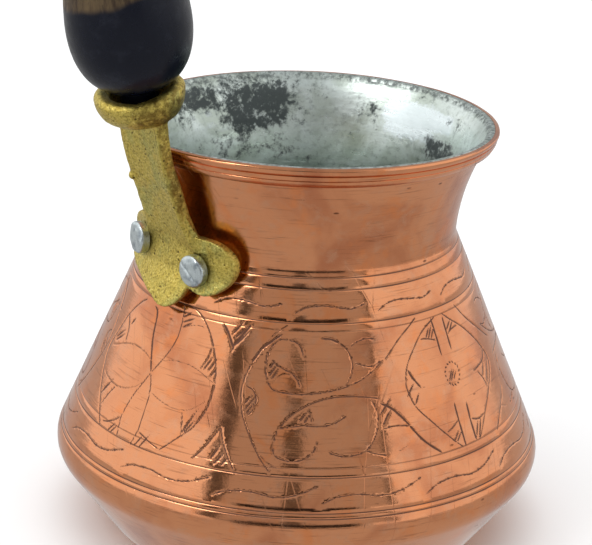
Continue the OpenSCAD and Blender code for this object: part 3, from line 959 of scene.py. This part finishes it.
class COFFEEPOT_OT_pot(PieceOperator):
    """Spins the copper pot, drills it for the rivets, and cuts its rings and engraving"""
    bl_idname = "coffee_pot.pot"
    bl_label = "Copper pot"

    def execute(self, context):
        pot, _, rivet, _ = self.settings(context)
        inside = moved(pot_sheet(pot, False), pot.copper_t)
        body = lathe("copper_pot", pot_sheet(pot) + rim_band(pot) + lip(pot) + inside[::-1], pot.columns)
        drill(body, rivet)
        samples = engraved_samples(pot)
        tree = tree_of(samples[0])
        for reach in (0.56 * MM, 0.38 * MM, 0.19 * MM):
            refine_near(body, pot, tree, reach)
        engrave(body, pot, samples, tree)
        wavy_rim(body, pot)
        roughened(body, DENTS, lambda places, normals: (normals * places)[:, :2].sum(axis=1) > 0.004)
        smooth(body, 60)
        finished(body, "copper", burnished_copper(pot), "pot_body")
        return {"FINISHED"}


# Stained and clean patches of the tin: degrees from the handle, height in millimetres, half width in
# degrees, half height in millimetres, and strength
BLACK_PATCHES = [
    (248, 75.0, 17, 5.2, 0.78), (250, 77.8, 26, 1.8, 0.65), (276, 77.0, 18, 2.4, 0.66),
    (280, 74, 9, 3, 0.4), (252, 67, 24, 3, 0.42), (207, 74, 5, 4.4, 0.46), (167, 70.8, 11, 2.4, 0.74),
    (163, 76.4, 13, 1.3, 0.5), (190, 78.6, 14, 0.6, 0.3), (225, 62, 40, 3, 0.2), (40, 74, 30, 4, 0.35),
    (95, 70, 26, 4, 0.3), (330, 70, 24, 5, 0.35), (120, 45, 60, 14, 0.25), (300, 30, 60, 12, 0.25),
    (0, 1.5, 180, 3, 0.3),
]
PALE_PATCHES = [
    (186, 74.3, 13, 3.6, 1.0), (172, 75.5, 9, 2.2, 0.8), (272, 73.0, 11, 2.6, 0.45),
    (258, 69, 20, 2, 0.2), (20, 76, 20, 3, 0.4), (130, 74, 18, 3, 0.4),
]


def patched(obj, patches):
    """How strongly each point of a round piece lies in the patches, from 0 to 1."""
    places = points_of(obj)
    turn = np.degrees(np.arctan2(places[:, 1], places[:, 0]))
    total = np.zeros(len(places))
    for middle, height, wide, high, strength in patches:
        across = ((turn - middle + 180) % 360 - 180) / wide
        up = (places[:, 2] / MM - height) / high
        total = np.maximum(total, strength * np.clip(1.7 - 1.2 * (across ** 4 + up ** 4) ** 0.25, 0, 1))
    return total


class COFFEEPOT_OT_tin(PieceOperator):
    """Spins the thin tin lining and gives it its wiped, uneven face"""
    bl_idname = "coffee_pot.tin"
    bl_label = "Tin lining"

    def execute(self, context):
        pot, _, rivet, _ = self.settings(context)
        outside = moved(pot_sheet(pot, False), pot.copper_t)
        inside = moved(pot_sheet(pot), pot.copper_t + pot.tin_t)
        inner, top = pot.rim_r - 1 * MM, pot.pot_h
        rim = [Vector((inner - 0.02 * MM, top - 0.1 * MM)), Vector((inner - 0.15 * MM, top - 0.01 * MM)),
               Vector((inner - 0.5 * MM, top)), Vector((inner - 0.9 * MM, top - 0.03 * MM)),
               Vector((inner - 1.15 * MM, top - 0.2 * MM)), Vector((inner - 1.35 * MM, top - 0.5 * MM))]
        flare = straight(rim[-1], inside[-1], 0.4 * MM)
        tin = lathe("tin_inside", outside + lip(pot)[:0:-1] + rim + flare + inside[-2::-1], pot.columns)
        drill(tin, rivet)
        roughened(tin, [(9 * MM, 0.10 * MM, 5.2), (3.5 * MM, 0.04 * MM, 2.8)],
                  lambda places, normals: (normals * places)[:, :2].sum(axis=1) < -0.008)
        wavy_rim(tin, pot)
        store(tin, "black", patched(tin, BLACK_PATCHES))
        store(tin, "pale", patched(tin, PALE_PATCHES))
        smooth(tin, 60)
        finished(tin, "tin", wiped_tin(pot), "tin_lining")
        return {"FINISHED"}


# Places of the plate's lobes from the bracket's middle: across, and height above the floor, in millimetres
LEFT_LOBE, RIGHT_LOBE, BOTTOM_LOBE = (-9.6, 60.0), (9.3, 59.5), (1.2, 55.3)
# Middle line of the strap from inside the plate up to the cup: out from the axis, and height, in
# millimetres
STRAP_LINE = [
    (30.6, 61.6), (31.9, 64.0), (33.4, 67.6), (36.3, 75.0), (37.75, 79.4), (38.6, 83.0), (39.1, 86.9),
]
# Front face of the plate: radius and height in millimetres
PLATE_FRONT = [(36.95, 47.9), (33.0, 57.5), (32.6, 61.5), (33.2, 67.9)]

# Thickness of the plate while it is still a flat block
BLOCK = 3 * MM


def level_on(points, z):
    """Radius at a height on a broken line of (radius, height) in millimetres."""
    return float(np.interp(z / MM, [p[1] for p in points], [p[0] for p in points])) * MM


def plate_block(bracket, inset, low, high):
    """Lobes and web of the plate as a flat block, drawn in by the inset, between two parts of BLOCK."""
    side, bottom = bracket.side_lobe_r / MM - inset, bracket.bottom_lobe_r / MM - inset
    blocks = []
    for (y, z), radius in ((LEFT_LOBE, side), (RIGHT_LOBE, side), (BOTTOM_LOBE, bottom)):
        nothing_selected()
        bpy.ops.mesh.primitive_cylinder_add(vertices=48, radius=radius * MM, depth=(high - low) * BLOCK,
                                            rotation=(0, math.pi / 2, 0),
                                            location=((low + high) / 2 * BLOCK, y * MM, z * MM))
        blocks.append(added("lobe"))
        settle(blocks[-1])
    nothing_selected()
    bpy.ops.mesh.primitive_circle_add(vertices=6, radius=MM, fill_type="NGON")
    web = added("web")
    outline = [(LEFT_LOBE[0], LEFT_LOBE[1] + side),
               (RIGHT_LOBE[0], RIGHT_LOBE[1] + side),
               (RIGHT_LOBE[0], RIGHT_LOBE[1] - side + 0.6),
               (BOTTOM_LOBE[0] + bottom - 0.6, BOTTOM_LOBE[1] - 0.4),
               (BOTTOM_LOBE[0] - 2.6, BOTTOM_LOBE[1] - bottom + 0.8),
               (LEFT_LOBE[0] - 1.6, LEFT_LOBE[1] - side + 0.3)]
    set_points(web, np.array([(low * BLOCK, y * MM, z * MM) for y, z in outline]))
    only(web)
    bpy.ops.object.mode_set(mode="EDIT")
    bpy.ops.mesh.select_all(action="SELECT")
    bpy.ops.mesh.extrude_region_move(TRANSFORM_OT_translate={"value": ((high - low) * BLOCK, 0, 0)})
    facing_out()
    return joined(web, *blocks)


def plate(pot, bracket):
    """The three-lobed plate: a thin face over a smaller pad, bent round the pot."""
    face_from = 1 - bracket.face_t / bracket.plate_t
    face = plate_block(bracket, 0, face_from, 1)
    block = joined(face, plate_block(bracket, bracket.pad_inset / MM, 0, face_from + 0.1))
    applied(block, "REMESH", mode="VOXEL", voxel_size=0.25 * MM)
    neck = bend((pot.waist_r, pot.waist_z), (pot.waist_r + 0.5 * MM, pot.waist_z + 9.5 * MM),
                (pot.neck_r, pot.pot_h - pot.band_h), 12)
    wall = [(cone_r(pot, 0.045) / MM, 45), *[(p.x / MM, p.y / MM) for p in neck]]
    places = points_of(block)
    for i, (x, y, z) in enumerate(places):
        back = math.sqrt((level_on(wall, z) + GAP) ** 2 - y * y)
        front = math.sqrt(level_on(PLATE_FRONT, z) ** 2 - y * y)
        places[i, 0] = back + (front - back) * min(1, max(0, x / BLOCK))
    set_points(block, places)
    return block


def strap(bracket):
    """The upright strap: a tube of rounded sections along its middle line, slightly hollow in front."""
    line = smooth_line(STRAP_LINE, 0.5)
    along, around = len(line) - 1, 96
    nothing_selected()
    bpy.ops.mesh.primitive_grid_add(x_subdivisions=around, y_subdivisions=along, size=1)
    obj = added("strap")
    places = points_of(obj)
    for i, (x, y, _) in enumerate(places):
        step = round((y + 0.5) * along)
        turn = FULL_TURN * (x + 0.5)
        here = line[step]
        ahead = (line[min(step + 1, along)] - line[max(step - 1, 0)]).normalized()
        out = Vector((ahead.y, -ahead.x))
        half = bracket.strap_w / 2 + 0.1 * MM + 3.2 * MM * max(0, (69 - here.y) / 9) ** 2.2
        across = math.copysign(abs(math.cos(turn)) ** 0.2, math.cos(turn))
        deep = math.copysign(abs(math.sin(turn)) ** 0.2, math.sin(turn))
        lift = (bracket.strap_t / 2 + 0.15 * MM) * deep
        if deep > 0:
            lift -= 0.45 * MM * deep * (1 - across ** 2)
        places[i] = (here.x * MM + out.x * lift, across * half, here.y * MM + out.y * lift)
    set_points(obj, places)
    only(obj)
    bpy.ops.object.mode_set(mode="EDIT")
    bpy.ops.mesh.select_all(action="SELECT")
    bpy.ops.mesh.remove_doubles(threshold=1e-6)
    bpy.ops.mesh.fill_holes(sides=0)
    facing_out()
    return obj


# Directions round the cup in which its cast lip is lowest and highest
LIP_LOW, LIP_HIGH = math.radians(48), math.radians(138)


def cup(bracket):
    """The open cup at the strap's top: rounded foot and thick rolled lip."""
    lip_r = (bracket.cup_r - bracket.cup_hole_r) / 2
    middle = Vector((bracket.cup_r - lip_r, bracket.cup_h - lip_r))
    outside = bend((4.3 * MM, 0.7 * MM), (7.6 * MM, 1.4 * MM), (bracket.cup_r, middle.y), 16)
    roll = [middle + lip_r * Vector((math.cos(a), math.sin(a)))
            for a in np.linspace(0.15, math.pi - 0.15, 14)]
    hole, floor = bracket.cup_hole_r, bracket.cup_floor
    hollow = [(hole, middle.y), (hole, floor + 0.8 * MM), (hole - 0.8 * MM, floor), (0, floor)]
    obj = lathe("cup", [(0, 0.1 * MM), *outside, *roll, *hollow], 96)
    places = points_of(obj)
    turn = np.arctan2(places[:, 1], places[:, 0])
    worn = (-0.1 - 0.5 * np.maximum(0, np.cos(turn - LIP_LOW)) ** 1.5
            + 1.1 * np.maximum(0, np.cos(turn - LIP_HIGH))
            + 0.3 * np.maximum(0, -np.cos(turn - LIP_HIGH)))
    upper = np.clip((places[:, 2] - 2 * MM) / (bracket.cup_h - 2 * MM), 0, 1)
    places[:, 2] += upper * MM * (worn + 0.25 * noise_at(places, 6 * MM, 4.4))
    set_points(obj, places)
    settle(obj, cup_frame(bracket))
    return obj


class COFFEEPOT_OT_bracket(PieceOperator):
    """Casts the bracket in one: three-lobed plate, upright strap and open cup"""
    bl_idname = "coffee_pot.bracket"
    bl_label = "Brass bracket"

    def execute(self, context):
        pot, bracket, rivet, grip = self.settings(context)
        nothing_selected()
        bpy.ops.mesh.primitive_uv_sphere_add(segments=24, ring_count=16, radius=0.95 * MM,
                                             location=(37.0 * MM, -5.3 * MM, 74.2 * MM))
        bump = added("bump")
        settle(bump)
        cast = joined(plate(pot, bracket), strap(bracket), cup(bracket), bump)
        cast.name = cast.data.name = "brass_bracket"
        applied(cast, "REMESH", mode="VOXEL", voxel_size=0.21 * MM)
        applied(cast, "SMOOTH", factor=0.5, iterations=4)
        roughened(cast, [(5 * MM, 0.12 * MM, 1.7), (1.8 * MM, 0.07 * MM, 6.1), (0.7 * MM, 0.035 * MM, 9.4)],
                  lambda places, normals: np.hypot(places[:, 0], places[:, 1])
                  > np.array([cone_r(pot, z) + 1.2 * MM for z in np.minimum(places[:, 2], pot.waist_z)]))
        stepped = [(0, -10 * MM), (rivet.shank_r + GAP, -10 * MM), (rivet.shank_r + GAP, 0),
                   (rivet.head_r + GAP, 0), (rivet.head_r + GAP, 8 * MM), (0, 8 * MM)]
        drills = []
        for place in rivet_frames(rivet).values():
            drills.append(lathe("seat", stepped, 48))
            settle(drills[-1], place)
        nothing_selected()
        bpy.ops.mesh.primitive_cylinder_add(vertices=48, radius=grip.rod_r + GAP, depth=30 * MM,
                                            location=(0, 0, 15.45 * MM))
        rod = added("rod_hole")
        settle(rod)
        settle(rod, cup_frame(bracket))
        cut_with(cast, joined(rod, *drills))
        smooth(cast, 50)
        finished(cast, "brass_cast", cast_brass(bracket), "handle_bracket")
        return {"FINISHED"}


# Flats hammered on each rivet: place on the face, slope both ways, and drop, in millimetres
HAMMERED = {
    "left": [(0, 0, 0.04, -0.05, 0), (1.4, 0.6, 0.22, 0.05, -0.02), (-1.3, 0.9, -0.2, 0.16, -0.03),
             (-0.6, -1.6, -0.04, -0.22, -0.05), (1.2, -1.4, 0.16, -0.18, -0.04)],
    "right": [(0, 0, -0.03, 0.03, 0), (1.5, 0.2, 0.2, -0.04, -0.03), (-1.4, -0.5, -0.2, -0.05, -0.04),
              (0.2, 1.7, 0.02, 0.2, -0.02), (-0.2, -1.6, 0.03, -0.19, -0.05)],
}


class COFFEEPOT_OT_rivets(PieceOperator):
    """Turns the two rivets and hammers their heads"""
    bl_idname = "coffee_pot.rivets"
    bl_label = "Rivets"

    def execute(self, context):
        rivet = context.scene.rivet_size
        head, high, shank, grip, inner = rivet.head_r, rivet.head_h, rivet.shank_r, rivet.grip_l, 0.9 * MM
        low_head = [(0, -grip - inner), (head - 0.9 * MM, -grip - inner),
                    (head - 0.5 * MM, -grip - 0.7 * inner), (head - 0.4 * MM, -grip - 0.4 * MM),
                    (head - 0.4 * MM, -grip)]
        wall = straight((head, 0), (head, high - 0.55 * MM), 0.2 * MM)
        edge = corner((head, 0), (head, high), (0, high), 0.55 * MM, 6)
        top = straight(edge[-1], (0, high), 0.16 * MM)
        for side, place in rivet_frames(rivet).items():
            obj = lathe(side + "_rivet", low_head + [(shank, -grip), (shank, 0)] + wall + edge + top, 72)
            places = points_of(obj)
            up = np.clip((places[:, 2] - 0.5 * MM) / (high - 0.5 * MM), 0, 1)
            flats = [(places[:, 0] - x * MM) * -a + (places[:, 1] - y * MM) * -b + drop * MM
                     for x, y, a, b, drop in HAMMERED[side]]
            drop = np.minimum(np.minimum.reduce(flats), 0)
            if side == "right":
                crease = np.abs(places[:, 0] * 0.8 - places[:, 1] * 0.6 - 0.3 * MM)
                drop -= 0.16 * MM * np.exp(-(crease / (0.28 * MM)) ** 2)
            places[:, 2] += up * (drop + 0.10 * MM * noise_at(places, 1.0 * MM, 2.0))
            places[:, :2] *= (1 + up * 0.012 * noise_at(places, 1.2 * MM, 5.0))[:, None]
            set_points(obj, places)
            settle(obj, place)
            smooth(obj, 50)
            finished(obj, "rivet_aluminium", hammered_aluminium(rivet), "rivet_" + side)
        return {"FINISHED"}


class COFFEEPOT_OT_grip(PieceOperator):
    """Turns the wooden grip"""
    bl_idname = "coffee_pot.grip"
    bl_label = "Wooden grip"

    def execute(self, context):
        _, bracket, _, grip = self.settings(context)
        long, bulb, waist, knob = grip.grip_l, grip.bulb_r, grip.waist_r, grip.knob_r
        tenon_r, tenon_l, foot_r = grip.tenon_r, grip.tenon_l, bracket.cup_hole_r - 0.3 * MM
        bulb_z = tenon_l + 11.6 * MM
        shoulder = Vector((bulb - 2.5 * MM, bulb_z + 17 * MM))
        waist_at, knob_at, end = 0.48 * long, long - 9 * MM, grip.washer_r - 0.5 * MM
        hole = grip.rod_r + GAP
        side = [(tenon_r, tenon_l),
                *bend((foot_r, tenon_l), (bulb - 0.1 * MM, tenon_l + 2.5 * MM), (bulb, bulb_z), 36),
                *bend((bulb, bulb_z + 0.5 * MM), (bulb - 0.1 * MM, bulb_z + 6 * MM), shoulder, 24),
                *bend(shoulder + Vector((-0.3 * MM, 1.4 * MM)), (waist, shoulder.y + 8 * MM),
                      (waist, waist_at), 20),
                *bend((waist, waist_at + 4 * MM), (waist + 0.2 * MM, 0.66 * long),
                      (waist + 1.2 * MM, 0.78 * long), 20),
                *bend((waist + 1.4 * MM, 0.8 * long), (knob, 0.86 * long), (knob, knob_at), 16),
                *bend((knob, knob_at + 1 * MM), (knob, long), (end, long), 18)]
        section = [(hole, 0), (tenon_r - 0.6 * MM, 0), (tenon_r, 0.6 * MM), *side, (hole, long)]
        obj = lathe("wood_grip", section, 96, closed=True)
        roughened(obj, [(8 * MM, 0.06 * MM, 3.3), (2 * MM, 0.012 * MM, 8.8)],
                  lambda places, normals: np.hypot(places[:, 0], places[:, 1]) > 5.6 * MM)
        settle(obj, cup_frame(bracket) @ Matrix.Translation((0, 0, bracket.cup_floor + GAP)))
        smooth(obj, 40)
        finished(obj, "grip_wood", lacquered_wood(grip, bracket), "handle_grip")
        return {"FINISHED"}


class COFFEEPOT_OT_end_fittings(PieceOperator):
    """Turns the end washer, forms the domed nut, and finishes the steel rod"""
    bl_idname = "coffee_pot.end_fittings"
    bl_label = "End fittings"

    def execute(self, context):
        _, bracket, _, grip = self.settings(context)
        top = cup_frame(bracket) @ Matrix.Translation((0, 0, bracket.cup_floor + GAP + grip.grip_l))
        brass = turned_brass()
        thick, wide, hole = grip.washer_t, grip.washer_r, grip.rod_r + GAP
        rounded = [*corner((hole, 0), (wide, 0), (wide, thick), 0.3 * MM, 5),
                   *corner((wide, 0), (wide, thick), (hole, thick), 0.4 * MM, 6)]
        washer = lathe("brass_washer", [(hole, 0), *rounded, (hole, thick)], 72, closed=True)
        settle(washer, top)
        smooth(washer)
        finished(washer, "brass_turned", brass, "end_washer")

        flat_h = grip.nut_h - 3 * MM
        nothing_selected()
        bpy.ops.mesh.primitive_cylinder_add(vertices=6, radius=grip.nut_r, depth=flat_h,
                                            location=(0, 0, flat_h / 2))
        nut = added("brass_nut")
        settle(nut)
        applied(nut, "BEVEL", width=0.25 * MM, segments=3, limit_method="ANGLE",
                angle_limit=math.radians(30))
        dome = [(3.4 * MM * math.cos(a), grip.nut_h - 3.2 * MM + 3.2 * MM * math.sin(a))
                for a in np.linspace(0, math.pi / 2, 16)]
        cap = lathe("cap", [(0, grip.nut_h - 4.2 * MM), (3.4 * MM, grip.nut_h - 4.2 * MM), *dome], 60)
        applied(nut, "BOOLEAN", operation="UNION", solver="EXACT", object=cap)
        bpy.data.objects.remove(cap, do_unlink=True)
        nothing_selected()
        bpy.ops.mesh.primitive_cylinder_add(vertices=48, radius=hole, depth=6.1 * MM,
                                            location=(0, 0, 2 * MM))
        cut_with(nut, added("thread_hole"))
        settle(nut, top @ Matrix.Translation((0, 0, thick)))
        smooth(nut, 35)
        finished(nut, "brass_turned", brass, "end_nut")

        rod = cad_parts["handle_rod"]
        rod.data.materials.clear()
        rod.data.materials.append(plain_steel(grip))
        return {"FINISHED"}


# ---------------------------------------------------------------- stage

def glowing(name, strength):
    material = bpy.data.materials.new(name)
    material.use_nodes = True
    nodes = material.node_tree.nodes
    nodes.clear()
    light, out = nodes.new("ShaderNodeEmission"), nodes.new("ShaderNodeOutputMaterial")
    light.inputs["Strength"].default_value = strength
    material.node_tree.links.new(light.outputs[0], out.inputs["Surface"])
    return material


# Cards round the pot that the metal mirrors: first and last degree from the camera's direction,
# lowest and highest degree above the floor, and brightness. The first are bright walls, then come
# the dark shapes in front of them.
CARDS = [
    (-150, -36, -2, 62, 1.16), (36, 150, -2, 62, 1.1), (-36, 47, 8, 47, 0.53), (-43, -34, 6, 44, 0.12),
    (44, 47, 6, 44, 0.08), (-6, 3, 6, 26, 0.13), (-26, 30, -2, 13, 0.03),
]
# Distance of the first card from the pot, in metres; each further card stands 10 mm nearer
CARD_REACH = 1.5


def card(name, stage, first, last, low, high, glow, reach):
    """A card curved round the pot at a fixed distance, seen only in reflections."""
    nothing_selected()
    bpy.ops.mesh.primitive_grid_add(x_subdivisions=24, y_subdivisions=6, size=1)
    obj = added(name)
    places = points_of(obj)
    for i, (x, y, _) in enumerate(places):
        turn = stage.camera_turn + math.radians(first + (last - first) * (x + 0.5))
        climb = math.radians(low + (high - low) * (y + 0.5))
        places[i] = (reach * math.cos(turn) * math.cos(climb), reach * math.sin(turn) * math.cos(climb),
                     reach * math.sin(climb))
    set_points(obj, places)
    obj.data.materials.append(glowing(name, glow))
    obj.visible_camera = False
    obj.visible_shadow = False
    obj.visible_diffuse = False
    return obj


# Soft lights: name, degrees from the camera's direction and above the floor, distance, size, power,
# and whether the metal mirrors them
LIGHTS = [("key", -60, 50, 1.2, 0.5, 3.0, True), ("overhead", 0, 88, 2.2, 3.0, 42.0, False)]


def aimed(spot, stage):
    """Turn from a spot towards the point that the camera looks at."""
    return (Vector(stage.aim) - spot).to_track_quat("-Z", "Y")


class COFFEEPOT_OT_stage(PieceOperator):
    """Sets the pale floor, soft lights, mirrored cards and camera"""
    bl_idname = "coffee_pot.stage"
    bl_label = "Stage"

    def execute(self, context):
        stage = context.scene.stage_size
        nothing_selected()
        bpy.ops.mesh.primitive_plane_add(size=6)
        floor = added("floor")
        look = Finish("pale floor", Specular_IOR_Level=0.2)
        floor.data.materials.append(look.paint(tuple(stage.floor), 0.8))
        floor.visible_glossy = False
        nothing_selected()
        bpy.ops.mesh.primitive_plane_add(size=6, location=(0, 0, -0.5 * MM))
        mirrored = added("mirrored_floor")
        mirrored.data.materials.append(glowing("mirrored floor", 0.62))
        mirrored.visible_camera = mirrored.visible_diffuse = mirrored.visible_shadow = False
        for number, (first, last, low, high, glow) in enumerate(CARDS):
            reach = CARD_REACH - 0.01 * number
            card(f"card_{number}", stage, first, last, low, high, glow, reach)
        for name, turn, climb, reach, size, power, shines in LIGHTS:
            turn, climb = stage.camera_turn + math.radians(turn), math.radians(climb)
            level = math.cos(climb)
            spot = Vector((math.cos(turn) * level, math.sin(turn) * level, math.sin(climb))) * reach
            nothing_selected()
            bpy.ops.object.light_add(type="AREA", location=spot)
            light = bpy.context.active_object
            light.name = name
            light.data.shape = "DISK"
            light.data.size = size
            light.data.energy = power
            light.rotation_euler = aimed(spot, stage).to_euler()
            light.visible_camera = False
            light.visible_glossy = shines

        world = bpy.data.worlds.new("studio")
        world.use_nodes = True
        sky = world.node_tree.nodes["Background"]
        sky.inputs["Color"].default_value = (0.97, 1, 1.02, 1)
        sky.inputs["Strength"].default_value = 0.55
        context.scene.world = world
        context.scene.view_settings.view_transform = "Standard"

        turn = stage.camera_turn
        spot = Vector((math.cos(turn) * stage.camera_distance, math.sin(turn) * stage.camera_distance,
                       stage.camera_height))
        bpy.ops.object.camera_add(location=spot)
        camera = bpy.context.active_object
        camera.name = "camera"
        sight = aimed(spot, stage).to_matrix().to_4x4()
        camera.matrix_world = Matrix.Translation(spot) @ sight @ Matrix.Rotation(stage.camera_roll, 4, "Z")
        camera.data.lens = stage.lens
        camera.data.sensor_width = 36
        camera.data.clip_start = 0.01
        context.scene.camera = camera
        return {"FINISHED"}


# ---------------------------------------------------------------- panel and start

class COFFEEPOT_PT_panel(bpy.types.Panel):
    """Lists the pieces in the order they are made"""
    bl_label = "Coffee pot"
    bl_space_type = "VIEW_3D"
    bl_region_type = "UI"
    bl_category = "Coffee pot"

    def draw(self, context):
        for operator in OPERATORS:
            self.layout.operator(operator.bl_idname)


OPERATORS = (COFFEEPOT_OT_pot, COFFEEPOT_OT_tin, COFFEEPOT_OT_bracket, COFFEEPOT_OT_rivets,
             COFFEEPOT_OT_grip, COFFEEPOT_OT_end_fittings, COFFEEPOT_OT_stage)
SIZES = {"pot_size": PotSize, "bracket_size": BracketSize, "rivet_size": RivetSize, "grip_size": GripSize,
         "stage_size": StageSize}


def register():
    for name, group in SIZES.items():
        bpy.utils.register_class(group)
        setattr(bpy.types.Scene, name, PointerProperty(type=group))
    for cls in (*OPERATORS, COFFEEPOT_PT_panel):
        bpy.utils.register_class(cls)


def unregister():
    for cls in (COFFEEPOT_PT_panel, *reversed(OPERATORS)):
        bpy.utils.unregister_class(cls)
    for name, group in reversed(SIZES.items()):
        delattr(bpy.types.Scene, name)
        bpy.utils.unregister_class(group)


def main():
    register()
    bpy.ops.coffee_pot.pot()
    bpy.ops.coffee_pot.tin()
    bpy.ops.coffee_pot.bracket()
    bpy.ops.coffee_pot.rivets()
    bpy.ops.coffee_pot.grip()
    bpy.ops.coffee_pot.end_fittings()
    bpy.ops.coffee_pot.stage()


if __name__ == "__main__":
    main()
